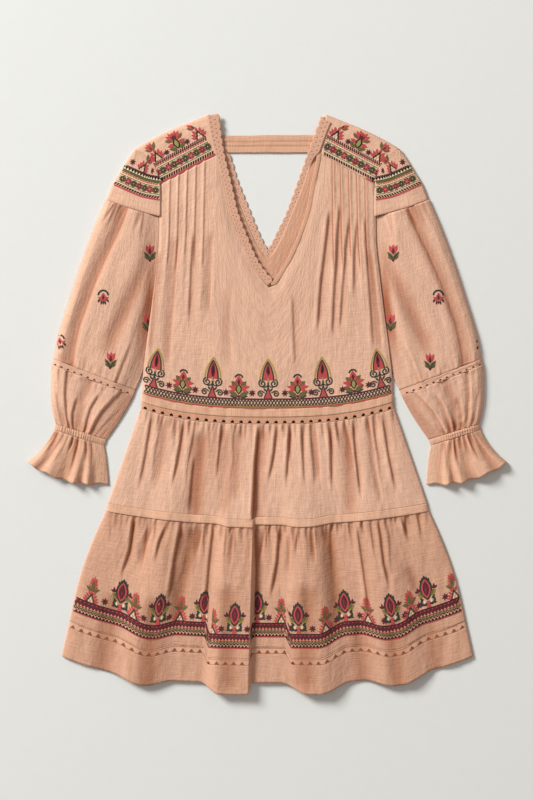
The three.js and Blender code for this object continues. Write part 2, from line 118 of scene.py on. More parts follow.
# Adds a node. Settings are its own values; links go to its sockets, a socket or a plain value.
def addNode(tree, kind, settings=None, links=None):
    made = tree.nodes.new(kind)
    for key, value in (settings or {}).items():
        setattr(made, key, value)
    for key, value in (links or {}).items():
        if isinstance(value, bpy.types.NodeSocket):
            tree.links.new(value, made.inputs[key])
        else:
            made.inputs[key].default_value = value
    return made


def newMaterial(name):
    material = bpy.data.materials.new(name)
    material.use_nodes = True
    material.node_tree.nodes.clear()
    return material, material.node_tree


# Noise stretched along one thread direction, from the cloth's own UV in metres
def threadNoise(tree, uv, acrossMm, alongMm, detail=2.0):
    scaled = addNode(tree, "ShaderNodeMapping", None,
                     {"Vector": uv, "Scale": (1 / (acrossMm * mm), 1 / (alongMm * mm), 1)})
    return addNode(tree, "ShaderNodeTexNoise", {"noise_dimensions": "2D"},
                   {"Vector": scaled.outputs[0], "Scale": 1, "Detail": detail}).outputs["Fac"]


def mathNode(tree, operation, a, b):
    return addNode(tree, "ShaderNodeMath", {"operation": operation}, {0: a, 1: b}).outputs[0]


# Cotton gauze: slubbed single threads show as short streaks both ways, the open weave crinkles,
# and the fold attribute mixes the colour towards a darker, warmer one: painted shade in the folds
def gauzeMaterial(name, look):
    material, tree = newMaterial(name)
    uv = addNode(tree, "ShaderNodeTexCoord").outputs["UV"]
    warp = threadNoise(tree, uv, look["threadMm"], look["slubMm"])
    weft = threadNoise(tree, uv, look["slubMm"], look["threadMm"])
    crinkle = threadNoise(tree, uv, look["crinkleMm"], look["crinkleMm"] * 2.2, 3.0)
    mottle = threadNoise(tree, uv, *look["mottleMm"])
    threads = mathNode(tree, "ADD", mathNode(tree, "MULTIPLY", warp, 2 - look["weft"]),
                       mathNode(tree, "MULTIPLY", weft, look["weft"]))
    # The fold attribute is painted shade: it mixes the flat colour towards the deep one
    fold = addNode(tree, "ShaderNodeAttribute", {"attribute_name": "fold"}).outputs["Fac"]
    body = addNode(tree, "ShaderNodeMix", {"data_type": "RGBA"},
                   {0: fold, 6: linear(look["flat"]), 7: linear(look["deep"])}).outputs[2]
    streak = addNode(tree, "ShaderNodeMapRange", None,
                     {"Value": threads, "From Min": 0.6, "From Max": 1.4,
                      "To Min": look["streakLow"], "To Max": look["streakHigh"]}).outputs[0]
    tone = addNode(tree, "ShaderNodeMapRange", None,
                   {"Value": mottle, "From Min": 0.3, "From Max": 0.7,
                    "To Min": 0.97, "To Max": 1.03}).outputs[0]
    shade = mathNode(tree, "MULTIPLY", streak, tone)
    coloured = addNode(tree, "ShaderNodeVectorMath", {"operation": "SCALE"},
                       {0: body, "Scale": shade}).outputs[0]
    relief = mathNode(tree, "ADD", mathNode(tree, "MULTIPLY", threads, 0.35),
                      mathNode(tree, "MULTIPLY", crinkle, look["crinkle"]))
    bump = addNode(tree, "ShaderNodeBump", None,
                   {"Strength": 1.0, "Distance": look["bumpMm"] * mm, "Height": relief})
    shader = addNode(tree, "ShaderNodeBsdfPrincipled", None,
                     {"Base Color": coloured, "Roughness": 0.92, "IOR": 1.45,
                      "Specular IOR Level": 0.2, "Sheen Weight": look["sheen"],
                      "Sheen Roughness": 0.5, "Sheen Tint": linear(look["flat"]),
                      "Normal": bump.outputs[0]})
    addNode(tree, "ShaderNodeOutputMaterial", None, {"Surface": shader.outputs[0]})
    return material


# deep is the painted shade colour that the folds are mixed towards
gauzeLook = {
    "flat": "#E8B89D", "deep": "#B0694A", "threadMm": 1.9, "slubMm": 24, "crinkleMm": 6,
    "crinkle": 0.8, "bumpMm": 0.9, "sheen": 0.12, "streakLow": 0.88, "streakHigh": 1.09,
    "weft": 1.0, "mottleMm": (45, 60),
}
gauze = gauzeMaterial("crinkled_cotton_gauze", gauzeLook)
# A darker copy of the gauze for the back pieces of the skirt strips: painted shade
gauzeShadedBack = gauzeMaterial("cotton_gauze_back_painted_shade", {**gauzeLook, "flat": "#D79C7C", "deep": "#9A5638"})
# A darker copy of the gauze for the bodice back: painted shade
gauzeShade = gauzeMaterial("cotton_gauze_back_panel_painted_shade", {**gauzeLook, "flat": "#E2AD90"})
binding = gauzeMaterial("pressed_gauze_band", {**gauzeLook, "crinkle": 0.4, "flat": "#E3B092"})
laceCotton = gauzeMaterial("cotton_crochet_lace", {
    **gauzeLook, "flat": "#DBA183", "deep": "#A05C40", "threadMm": 1.0, "slubMm": 1.4,
    "crinkleMm": 2.0, "streakLow": 0.85, "streakHigh": 1.12, "bumpMm": 0.5})
# The lower tier is fuller, with stronger weft streaks; it and the hem band get a darker copy of the gauze:
# painted shade
gauzeLowerShaded = gauzeMaterial("crinkled_cotton_gauze_lower_tier_painted_shade", {
    **gauzeLook, "flat": "#DBA78B", "deep": "#A2613F", "weft": 1.45})
# A slightly darker copy of the gauze for the cuff casing and ruffle: painted shade
gauzeCuff = gauzeMaterial("crinkled_cotton_gauze_cuff_painted_shade", {**gauzeLook, "flat": "#E2B093"})
laceFine = gauzeMaterial("fine_crochet_lace", {
    **gauzeLook, "flat": "#E3B095", "deep": "#A86A4C", "threadMm": 0.9, "slubMm": 1.6,
    "crinkleMm": 1.8, "bumpMm": 0.4})
# A dark copy of the lace for the back of the waist lace: painted shade seen through the front lace's
# openings
laceShadedBack = gauzeMaterial("crochet_lace_back_painted_shade", {
    **gauzeLook, "flat": "#8E5138", "deep": "#6B3522", "threadMm": 1.0, "slubMm": 1.4})


# Stranded embroidery cotton: satin stitches catch the light in fine ridges
def threadMaterial(name, hexColour):
    material, tree = newMaterial(name)
    place = addNode(tree, "ShaderNodeTexCoord").outputs["Object"]
    strands = addNode(tree, "ShaderNodeTexNoise", None,
                      {"Vector": place, "Scale": 1 / (1.1 * mm), "Detail": 1.0}).outputs["Fac"]
    tone = addNode(tree, "ShaderNodeMapRange", None,
                   {"Value": strands, "From Min": 0.35, "From Max": 0.65,
                    "To Min": 0.8, "To Max": 1.2}).outputs[0]
    coloured = addNode(tree, "ShaderNodeVectorMath", {"operation": "SCALE"},
                       {0: linear(hexColour)[:3], "Scale": tone}).outputs[0]
    bump = addNode(tree, "ShaderNodeBump", None, {"Distance": 0.2 * mm, "Height": strands})
    shader = addNode(tree, "ShaderNodeBsdfPrincipled", None,
                     {"Base Color": coloured, "Roughness": 0.75, "IOR": 1.5,
                      "Specular IOR Level": 0.2, "Sheen Weight": 0.05,
                      "Normal": bump.outputs[0]})
    addNode(tree, "ShaderNodeOutputMaterial", None, {"Surface": shader.outputs[0]})
    return material


print("stage: cloth")

body = "root"


# A cloth piece from a grid: shape(u, v) gives x, y, z in mm and how much painted shade each point gets, kept
# as the fold attribute that darkens its colour.
# facing is 1 where the modelled face looks up, -1 where it looks down at the floor.
def clothPiece(name, columns, rows, shape, uvSize, wall, material, facing=1, ring=False, hole=None):
    bm = bmesh.new()
    bmesh.ops.create_grid(bm, x_segments=columns, y_segments=rows, size=0.5)
    if hole:
        centres = [(face, face.calc_center_median()) for face in bm.faces]
        openings = [face for face, at in centres
                    if hole(int((at.x + 0.5) * columns), rows - 1 - int((at.y + 0.5) * rows))]
        bmesh.ops.delete(bm, geom=openings, context="FACES")
    mesh = bpy.data.meshes.new(name)
    bm.to_mesh(mesh)
    bm.free()
    flat = np.empty(len(mesh.vertices) * 3)
    mesh.vertices.foreach_get("co", flat)
    u, v = flat[0::3] + 0.5, 0.5 - flat[1::3]
    x, y, z, fold = shape(u, v)
    mesh.vertices.foreach_set("co", (np.column_stack([x, y, z]) * mm).ravel())
    corner = np.empty(len(mesh.loops), int)
    mesh.loops.foreach_get("vertex_index", corner)
    uvMap = mesh.uv_layers.new(name="cloth")
    uvMap.data.foreach_set("uv", np.column_stack([u[corner] * uvSize[0], v[corner] * uvSize[1]]).ravel())
    foldShadeValues = mesh.attributes.new("fold", "FLOAT", "POINT").data
    foldShadeValues.foreach_set("value", np.clip(fold + u * 0, 0, 1))
    bm = bmesh.new()
    bm.from_mesh(mesh)
    if ring:
        bmesh.ops.remove_doubles(bm, verts=bm.verts, dist=0.01 * mm)
    bm.normal_update()
    byHeight = sorted(bm.faces, key=lambda face: face.calc_center_median().z * facing)
    highest = byHeight[-len(bm.faces) // 4:]
    if sum(face.normal.z for face in highest) * facing < 0:
        bmesh.ops.reverse_faces(bm, faces=bm.faces)
    bm.to_mesh(mesh)
    bm.free()
    piece = bpy.data.objects.new(name, mesh)
    bpy.context.scene.collection.objects.link(piece)
    mesh.materials.append(material)
    mesh.shade_smooth()
    solid = piece.modifiers.new("wall", "SOLIDIFY")
    solid.thickness = wall * mm
    solid.offset = -1
    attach(piece, body)
    return piece


def standsFor(piece, slot, flat, held, restsOn, *nodes, area=None):
    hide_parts(*nodes)


# How much painted shade a fold of 1 mm puts into the colour, in a panel, below a seam and along a sleeve
foldShadeTint = {"crease": 0.26, "gather": 0.3, "sleeve": 0.24}


# Cross profile of a fold: lip -1 stands a sharp pleat edge on the left of its line, so the cloth
# drops fast and climbs slowly to the right; lip 1 is a softer fold leaning the other way, and lip 0
# an open wave. away is in mm; gives how far the cloth sinks and how much painted shade darkens its colour.
def foldProfile(away, width, lip):
    if lip == 0:
        return bell(away / width), 0.8 * bell(away / width)
    toEdge = away * lip
    sharp = 2.0 if lip < 0 else 0.55 * width
    sink = np.where(toEdge > 0, bell(toEdge / sharp), bell(toEdge / width))
    ridge = 0.4 if lip < 0 else 0.1
    sink = sink - ridge * np.where(toEdge > 0, bell((toEdge - 1.7 * sharp - 1.2) / (sharp + 1.4)), 0)
    tint = np.where(toEdge > 0, bell(toEdge / sharp), bell(toEdge / width))
    return sink, 0.45 * bell((away - 0.4 * lip * sharp) / 1.6) + 0.65 * tint


# Creases of a panel: each runs down a list of [x, y] points, with its width and depth in mm
def creaseRelief(x, y, creases):
    sink, fold = np.zeros_like(x), np.zeros_like(x)
    for points, width, depth, lip in creases:
        xs, ys = np.array(points, float).T
        centre = np.interp(-y, -ys, xs)
        fadeIn = smooth(ys[0] + 4, ys[0] - 18, y)
        fadeOut = smooth(ys[-1] - 12, ys[-1] + 22, y)
        strength = fadeIn * fadeOut
        profile, tint = foldProfile(x - centre, width, lip)
        sink += strength * depth * profile
        fold += strength * foldShadeTint["crease"] * depth * tint
    return sink, fold


# Gathers below a gathered seam: down is the distance from the seam, x the place along it
def gatherRelief(x, down, centre, half, count, reach, deep, seed):
    random = np.random.default_rng(seed)
    sink, fold = np.zeros_like(x), np.zeros_like(x)
    for k in range(count):
        at = (k + 0.5 + random.uniform(-0.45, 0.45)) / count * 2 - 1
        length = reach * random.uniform(0.35, 1.25)
        width = random.uniform(1.8, 4.2)
        depth = deep * random.uniform(0.3, 1.3)
        lip = random.choice([-1, -1, 1])
        lean = 0.16 * at + random.uniform(-0.06, 0.06)
        wander = random.uniform(0.4, 1.5) * np.sin(down / random.uniform(9, 22) + random.uniform(0, 6))
        strength = smooth(-1, 4, down) * (1 - smooth(0.3 * length, length, down))
        away = x - centre - at * half - lean * down - wander
        profile, tint = foldProfile(away, width + 0.06 * down, lip)
        sink += strength * depth * profile
        fold += strength * foldShadeTint["gather"] * depth * tint
    return sink, fold


# Sizes that the frame gives, in mm
hemBox, tuckBox, waistBox = boxOf("hem_band_front"), boxOf("tier_tuck_front"), boxOf("waist_band_front")
laceBox = boxOf("waist_lace_front")
skirt = {
    "waistHalf": waistBox[3] - 0.6, "bandHalf": waistBox[3], "gatherHalf": laceBox[3],
    "tuckTopHalf": tuckBox[3] - 2.5, "tuckHalf": tuckBox[3], "hemHalf": hemBox[3],
    "waistDip": 22.8, "dipHalf": 193, "waistY": -8, "bandDepth": 12, "laceDepth": 11,
    "tuckY": -176, "tuckRise": 21, "tuckDepth": 11.5,
    "hemY": -433, "hemRise": 41, "hemBandDepth": 45, "hemLaceDepth": 9.5, "hemFlare": 0.225,
    "rest": 1.7, "air": 3.6, "wall": 0.8,
}
# Pleats that stand up at the hem, as shares of its half width: where each starts and ends, how
# softly its sides turn, how far it lowers the edge and how high it lifts it, and how much
# crisper its left side is pressed above the hem
hemPleats = [
    (-0.695, 0.16, -0.53, 0.15, 11.5, 8, 0), (-0.283, 0.09, -0.086, 0.016, 17, 10, 0.8),
    (0.132, 0.13, 0.335, 0.15, 17, 10, 0.75), (0.545, 0.16, 0.735, 0.15, 13, 8, 0),
]


def pleats(u, key, pressed=0):
    total = np.zeros_like(u)
    for pleat in hemPleats:
        start, rise, end, fall = pleat[:4]
        crisp = pleat[6] * pressed
        start, rise = start - 0.036 * crisp, rise * (1 - crisp)
        up = smooth(start - rise / 2, start + rise / 2, u)
        total += pleat[key] * (up - smooth(end - fall / 2, end + fall / 2, u))
    return total


def sideRound(u):
    return np.sqrt(np.maximum(0, 1 - np.abs(u) ** 24))


def waistRise(x):
    return skirt["waistDip"] * np.abs(x / skirt["dipHalf"]) ** 2.7


def waistLine(u, half, centreY):
    x = half * u
    return x, centreY + waistRise(x)


def tuckLine(u, half, below, pleated=True):
    drop = 0.24 * pleats(u, 4) * (1 - smooth(0.45, 0.55, np.abs(u))) if pleated else 0
    return half * u, skirt["tuckY"] - below - drop + skirt["tuckRise"] * np.abs(u) ** 2.2


def hemLine(u, above, pleated=True):
    drop = pleats(u, 4, smooth(15, 50, above)) if pleated else 0
    half = skirt["hemHalf"] - above * skirt["hemFlare"]
    return half * u, skirt["hemY"] + skirt["hemRise"] * np.abs(u) ** 3.2 + above - drop


# Underside of the front skirt; down is 0 at the waist, 1 at the tuck band and 2 at the hem
def skirtUnder(u, down):
    lift = smooth(0, 2, down) * pleats(u, 5)
    return skirt["rest"] + (skirt["air"] + lift) * sideRound(u)


waistBandY = skirt["waistY"] - skirt["bandDepth"]
waistLaceY = waistBandY - skirt["laceDepth"]
hemLaceTop = skirt["hemBandDepth"] + skirt["hemLaceDepth"]

tierOneCreases = [
    ([(-129, -24), (-136, -70), (-146, -122)], 6, 2.3, -1),
    ([(-101, -40), (-106, -100), (-113, -185)], 12, 3.6, 0),
    ([(-113, -80), (-117, -120), (-121, -165)], 5, 1.6, -1),
    ([(-71, -32), (-74, -70), (-78, -112)], 5, 1.9, -1),
    ([(-13, -34), (-18, -90), (-23, -190)], 13, 4.2, -1),
    ([(15, -34), (11, -75), (3, -118)], 5, 2.2, -1),
    ([(35, -34), (33, -75), (30, -122)], 5, 2.3, -1),
    ([(72, -32), (76, -70), (80, -120)], 6, 2.0, 1),
    ([(98, -30), (99, -70), (101, -128)], 5, 2.2, -1),
    ([(122, -30), (126, -90), (131, -180)], 10, 2.4, 0),
    ([(133, -24), (138, -80), (145, -140)], 5, 2.2, -1),
    ([(155, -20), (164, -90), (176, -150)], 5, 1.8, 1),
    ([(179, -14), (188, -75), (199, -130)], 6, 2.2, -1),
    ([(-155, -20), (-164, -75), (-173, -130)], 7, 1.8, 0),
    ([(-179, -14), (-188, -75), (-198, -125)], 5, 1.8, -1),
    ([(-42, -34), (-46, -90), (-50, -150)], 8, 1.6, 0),
    ([(54, -34), (56, -80), (58, -120)], 4, 1.6, -1),
    ([(-60, -40), (-64, -100), (-68, -180)], 12, 1.8, 0),
]
tierTwoCreases = [
    ([(-206, -176), (-213, -226), (-225, -263)], 6, 2.4, -1),
    ([(-177, -184), (-190, -217), (-197, -250)], 6, 2.8, 1),
    ([(-156, -186), (-167, -213), (-173, -240)], 5, 2.4, -1),
    ([(-134.5, -190), (-144, -242), (-152, -300)], 8, 2.8, -1),
    ([(-114, -188), (-123, -242), (-138, -300), (-140, -345)], 11, 3.4, 0),
    ([(-102, -188), (-110, -232)], 4, 2.4, 1),
    ([(-54, -196), (-58, -251)], 4, 2.0, 1),
    ([(-84, -195), (-90, -250), (-95, -310)], 6, 2.0, -1),
    ([(-19, -186), (-17, -260), (-19, -340)], 10, 3.4, -1),
    ([(-4, -191), (-13.5, -243)], 4, 2.4, 1),
    ([(19.5, -191), (16, -243), (7, -294)], 7, 2.8, -1),
    ([(34, -200), (32, -262)], 4, 2.2, 1),
    ([(47, -196), (44, -232)], 4, 2.0, -1),
    ([(66, -193), (73, -243)], 4, 2.4, 1),
    ([(90, -188), (98, -230), (103, -280), (110, -360)], 11, 3.4, 0),
    ([(173, -182), (181, -248), (189, -280)], 5, 2.4, -1),
    ([(208, -175), (219, -209)], 5, 2.6, -1),
    ([(217, -248), (235, -298)], 9, 2.4, 0),
    ([(140, -190), (150, -260), (158, -320)], 7, 2.0, -1),
    ([(62, -280), (60, -340), (58, -450)], 17, 3.0, 0),
    ([(-60, -280), (-62, -350), (-60, -450)], 16, 2.6, 0),
    ([(-170, -300), (-182, -380), (-190, -460)], 17, 3.2, 0),
    ([(-236, -290), (-250, -360), (-262, -440)], 15, 2.6, 0),
    ([(190, -330), (198, -390), (206, -460)], 15, 2.8, 0),
    ([(140, -330), (146, -390), (150, -470)], 16, 2.4, 0),
    ([(250, -330), (262, -390), (272, -460)], 14, 2.2, 0),
]


# Height and fold of the skirt's outer face at x, y
def skirtRelief(u, down, x, y):
    z = skirtUnder(u, down) + skirt["wall"]
    sink, fold = np.zeros_like(x), np.zeros_like(x)
    waistEdge = waistLine(u, skirt["gatherHalf"], waistLaceY)[1]
    tuckTop = tuckLine(u, skirt["tuckTopHalf"], 0)[1]
    tuckEnd = tuckLine(u, skirt["tuckHalf"], skirt["tuckDepth"])[1]
    upper = (y < waistEdge + 1) & (y > tuckTop - 1)
    lower = y < tuckEnd + 1
    if upper.any():
        for part in (creaseRelief(x, y, tierOneCreases),
                     gatherRelief(x, waistEdge - y, 0, skirt["gatherHalf"], 46, 34, 1.3, 3),
                     gatherRelief(x, waistEdge - y, 0, skirt["gatherHalf"], 20, 105, 1.3, 4)):
            sink += part[0] * upper
            fold += part[1] * upper
        sink *= np.where(upper, 0.35 + 0.65 * smooth(tuckTop - 2, tuckTop + 16, y), 1)
    if lower.any():
        for part in (creaseRelief(x, y, tierTwoCreases),
                     gatherRelief(x, tuckEnd - y, 0, skirt["tuckHalf"], 62, 32, 1.4, 5),
                     gatherRelief(x, tuckEnd - y, 0, skirt["tuckHalf"], 24, 85, 1.3, 6)):
            sink += part[0] * lower
            fold += part[1] * lower
    drift = 5 * softNoise(x, y, 60, 60, 7)
    ripple = 0.55 * softNoise(x + drift, y, 11, 46, 8) + 0.3 * softNoise(x, y, 7, 16, 9)
    z = z + (ripple - sink) * sideRound(u)
    return np.maximum(z, skirt["rest"] + skirt["wall"] * 0.6), fold


stripEdges = {
    "waist_band": [lambda u, p: waistLine(u, skirt["waistHalf"], skirt["waistY"]),
                   lambda u, p: waistLine(u, skirt["bandHalf"], waistBandY)],
    "waist_lace": [lambda u, p: waistLine(u, skirt["bandHalf"], waistBandY),
                   lambda u, p: waistLine(u, skirt["gatherHalf"], waistLaceY)],
    "skirt_tier1": [lambda u, p: waistLine(u, skirt["gatherHalf"], waistLaceY),
                    lambda u, p: tuckLine(u, skirt["tuckTopHalf"], 0, p)],
    "tier_tuck": [lambda u, p: tuckLine(u, skirt["tuckTopHalf"], 0, p),
                  lambda u, p: tuckLine(u, skirt["tuckHalf"], skirt["tuckDepth"], p)],
    "skirt_tier2": [lambda u, p: tuckLine(u, skirt["tuckHalf"], skirt["tuckDepth"], p),
                    lambda u, p: hemLine(u, hemLaceTop, p)],
    "hem_lace": [lambda u, p: hemLine(u, hemLaceTop, p),
                 lambda u, p: hemLine(u, skirt["hemBandDepth"], p)],
    "hem_band": [lambda u, p: hemLine(u, skirt["hemBandDepth"], p),
                 lambda u, p: hemLine(u, 0, p)],
}
stripLevels = {
    "waist_band": (0, 0), "waist_lace": (0, 0), "skirt_tier1": (0, 1), "tier_tuck": (1, 1.05),
    "skirt_tier2": (1.05, 1.8), "hem_lace": (1.8, 1.84), "hem_band": (1.84, 2),
}


def stripShape(name, pleated, raised=0.0, turned=0.0):
    above, below = stripEdges[name]
    top, bottom = stripLevels[name]

    def shape(across, v):
        u = across * 2 - 1
        upper, lower = above(u, pleated), below(u, pleated)
        lap = 0.45 / np.maximum(5, upper[1] - lower[1]) if pleated else 0
        x, y = between(upper, lower, mix(-lap, 1 + lap, v))
        if name == "skirt_tier2":
            x = x + 7 * np.sin(pi * v) * u * np.abs(u)
        if not pleated:
            sag = 0.5 + 0.5 * softNoise(x, y, 16, 70, 21)
            return x, y, 0.55 * sag * (1 - u ** 8), 0.25 * sag
        z, fold = skirtRelief(u, mix(top, bottom, v), x, y)
        z = z + raised * sideRound(u)
        if turned:
            z = z + turned * smooth(0, 0.9, v) * sideRound(u)
            fold = fold * 0.4
        return x, y, z, fold
    return shape


# Openings of the crochet lace, one in each repeat of columns, pointed upwards. halves gives the half
# width of an opening, row by row.
laceRepeat = 10
wideHoles, smallHoles = {5: 1, 6: 2, 7: 2}, {6: 1, 7: 2}


def laceHoles(halves, shift=0):
    def hole(column, row):
        step = (column + shift) % laceRepeat
        return row in halves and abs(step - (laceRepeat - 1) / 2) < halves[row]
    return hole


hemRepeats = 47
laceFill = 0.85   # share of a lace strip that is thread
stripPieces = {}
# How far a strip is raised, and how far its lower edge turns up, in mm
stripTurns = {"tier_tuck": (0.1, 1.1), "waist_band": (0.1, 0.5), "waist_lace": (0.1, 0)}
stripSettings = {   # columns, rows, wall, material, record slot, cut width and length in metres
    "waist_band": (300, 8, 0.8, binding, "binding", (0.40, 0.016)),
    "waist_lace": (29 * laceRepeat, 9, 0.5, laceCotton, "lace", (0.40, 0.011)),
    "skirt_tier1": (470, 52, 0.8, gauze, "gauze", (0.52, 0.165)),
    "tier_tuck": (360, 8, 0.9, binding, "binding", (0.51, 0.016)),
    "skirt_tier2": (540, 64, 0.8, gauzeLowerShaded, "gauze", (0.66, 0.20)),
    "hem_lace": (hemRepeats * laceRepeat, 9, 0.5, laceFine, "lace", (0.64, 0.0105)),
    "hem_band": (420, 16, 0.8, gauzeLowerShaded, "gauze", (0.66, 0.055)),
}
for stripName, (columns, rows, wall, material, slotName, cut) in stripSettings.items():
    isLace = stripName.endswith("lace")
    holes = smallHoles if stripName == "hem_lace" else wideHoles
    openArea = laceFill * cut[0] * cut[1] if isLace else None
    held = "gathered" if stripName.startswith("skirt") else "laid"
    frontShape = stripShape(stripName, True, *stripTurns.get(stripName, (0, 0)))
    front = clothPiece(f"{stripName}_front_cloth", columns, rows, frontShape, cut, wall, material,
                       hole=laceHoles(holes) if isLace else None)
    standsFor(front, slotName, cut, held, [f"{stripName}_back"], f"{stripName}_front", area=openArea)
    backGrid = (columns, rows) if isLace else (columns // 5 * 2, max(4, rows // 3))
    # The back pieces take darker copies of the cloth: painted shade, seen through the lace openings
    backCloth = laceShadedBack if stripName == "waist_lace" else gauzeShadedBack
    back = clothPiece(f"{stripName}_back_cloth", *backGrid, stripShape(stripName, False), cut, wall,
                      backCloth, facing=-1, hole=laceHoles(holes, 5) if isLace else None)
    standsFor(back, slotName, cut, held, [], f"{stripName}_back", area=openArea)
    stripPieces[stripName] = front

print("stage: bodice")

bodice = {
    "neckCorner": (-79, 388), "rightCorner": (84, 388), "armCorner": (-168, 341),
    "backCorner": (-84, 405), "backArm": (-176, 356), "footCorner": (-195, 15.6),
    "neckShare": 0.44, "rest": 1.7, "air": 3.6, "wall": 0.8,
    "pintucks": (0.56, 0.645, 0.73, 0.815, 0.9), "tuckHigh": 1.1, "uv": (0.38, 0.36),
}
# Neck edges on the way down: left front, right front on the way up, and the left of the back
leftNeck = [bodice["neckCorner"], (-66, 333), (-58, 297), (-42.5, 256), (-28, 222), (-15, 202)]
rightNeck = [(14, 187), (26, 204), (40, 229), (52, 256), (66, 296), (73, 333), bodice["rightCorner"]]
backHalf = [bodice["backCorner"], (-68, 381), (-58, 349), (-48, 323), (-37, 296), (-26, 269), (-12, 240),
            (0, 227)]
frontNeckLeft, frontNeckRight = curve([*leftNeck, (2, 181)]), curve([(2, 181), *rightNeck])
backNeck = curve(backHalf)
frontSide = curve([bodice["footCorner"], (-194, 41), (-189.5, 83), (-181, 146), (-173.5, 208),
                   (-169, 250), (-168.5, 291), bodice["armCorner"]])
backSide = curve([bodice["footCorner"], (-186, 50), (-176, 83), (-166, 146), (-160, 208), (-157, 250),
                  (-160, 300), bodice["backArm"]])


def bodicePlace(upper, side, u, v):
    sign = np.where(u < 0, -1, 1)
    foot = waistLine(u, skirt["waistHalf"], skirt["waistY"])
    x, y = between(foot, upper(u), v)
    corner = waistLine(np.ones_like(u), skirt["waistHalf"], skirt["waistY"])
    headX, headY = upper(sign * np.ones_like(u))
    sideX, sideY = side(v)
    ruledX, ruledY = between(corner, (np.abs(headX), headY), v)
    pull = np.abs(u) ** 4
    return x + sign * (-sideX - ruledX) * pull, y + (sideY - ruledY) * pull


def frontUpper(u):
    size, share = np.abs(u), bodice["neckShare"]
    seam = np.clip((size - share) / (1 - share), 0, 1)
    corner = np.where(u < 0, bodice["neckCorner"][0], -bodice["rightCorner"][0])
    seamX, seamY = between((corner, bodice["neckCorner"][1]), bodice["armCorner"], seam)
    leftX, leftY = frontNeckLeft(1 - size / share)
    rightX, rightY = frontNeckRight(size / share)
    x = np.where(size > share, np.where(u < 0, seamX, -seamX), np.where(u < 0, leftX, rightX))
    y = np.where(size > share, seamY, np.where(u < 0, leftY, rightY))
    return x, y


def backUpper(u):
    size, share = np.abs(u), bodice["neckShare"]
    seam = np.clip((size - share) / (1 - share), 0, 1)
    neckX, neckY = backNeck(1 - size / share)
    seamX, seamY = between(bodice["backCorner"], bodice["backArm"], seam)
    x, y = np.where(size > share, seamX, neckX), np.where(size > share, seamY, neckY)
    return np.where(u < 0, x, -x), y


bodiceCreases = [
    ([(-140, 262), (-146, 200), (-152, 120), (-156, 60)], 8, 2.0, 1),
    ([(-114, 268), (-118, 200), (-121, 130)], 7, 1.8, -1),
    ([(-87, 270), (-90, 210), (-92, 140)], 7, 1.6, 1),
    ([(97, 300), (91, 245), (84, 190), (79, 120)], 8, 2.3, -1),
    ([(113, 310), (109, 245), (105, 180), (102, 110)], 7, 2.1, -1),
    ([(128, 290), (122, 235), (118, 180), (114, 120)], 6, 1.8, -1),
    ([(140, 285), (136, 230), (135, 170)], 6, 1.6, -1),
    ([(152, 290), (156, 220), (161, 160), (165, 90)], 7, 2.0, -1),
    ([(-60, 180), (-62, 120), (-60, 60)], 10, 1.2, 1),
    ([(40, 170), (42, 110), (44, 60)], 10, 1.2, -1),
    ([(-168, 240), (-176, 160), (-184, 80)], 6, 2.2, -1),
    ([(160, 240), (168, 160), (176, 80)], 6, 2.2, 1),
]


def bodiceFrontShape(across, v):
    u = across * 2 - 1
    size = np.abs(u)
    x, y = bodicePlace(frontUpper, frontSide, u, v)
    low = bodice["rest"] + bodice["air"] * sideRound(u)
    z = mix(low, bodice["rest"] + bodice["air"], smooth(10, 60, y)) - 1.3 * smooth(0.85, 1, v)
    z = z + bodice["wall"]
    sink, fold = creaseRelief(x, y, bodiceCreases)
    # Pintucks: narrow standing folds, pressed towards the armhole, let go one after another
    for number, tuck in enumerate(bodice["pintucks"]):
        ends = 0.58 + 0.028 * ((number * 2) % 5) / 2
        strength = smooth(ends - 0.05, ends + 0.03, v)
        away = (size - tuck) / 0.02
        standing = np.where(away > 0, bell(away / 0.9), bell(away / 0.42))
        z = z + strength * bodice["tuckHigh"] * standing
        # A thin line of painted shadow on the centre side of each tuck, stronger on the right half
        fold = fold + strength * np.where(u > 0, 1.0, 0.5) * bell((away + 0.62) / 0.34)
        below = smooth(ends - 0.36, ends - 0.02, v) * (1 - strength)
        z = z + below * 0.8 * bell(away / 1.1)
    drift = 6 * softNoise(x, y, 70, 70, 11)
    ripple = 0.5 * softNoise(x + drift, y, 15, 60, 12) + 0.22 * softNoise(x, y, 8, 14, 13)
    z = z + (ripple - sink) * (1 - size ** 10) - 1.5 * smooth(0.965, 1, size)
    return x, y, np.maximum(z, bodice["rest"] + 0.5), fold


def bodiceBackShape(across, v):
    u = across * 2 - 1
    x, y = bodicePlace(backUpper, backSide, u, v)
    sag = 0.5 + 0.5 * softNoise(x, y, 22, 60, 22)
    return x, y, 0.5 * sag * (1 - u ** 8), 0.2 * sag


bodiceFront = clothPiece("bodice_front_cloth", 310, 98, bodiceFrontShape, bodice["uv"], bodice["wall"],
                         gauze)
standsFor(bodiceFront, "gauze", (0.44, 0.37), "laid", ["bodice_back"], "bodice_front", area=0.137)
bodiceBack = clothPiece("bodice_back_cloth", 80, 50, bodiceBackShape, bodice["uv"], bodice["wall"],
                        gauzeShade, facing=-1)
standsFor(bodiceBack, "gauze", (0.40, 0.38), "laid", [], "bodice_back")

print("stage: shoulders and sleeves")

capOuter, capInner = (-252, 318), (-168, 291)
shoulder = {"fold": 1.6, "rest": 3.4, "wall": 0.8, "laceWall": 0.5, "frontShare": 0.62, "backShare": 0.4,
            "rippleLong": 250}


# Shares around a flattened tube or flap: along the front from the folded edge, then the underside
def aroundFold(t, frontShare):
    onFront = t <= frontShare
    return onFront, np.where(onFront, t / frontShare, (1 - t) / (1 - frontShare))


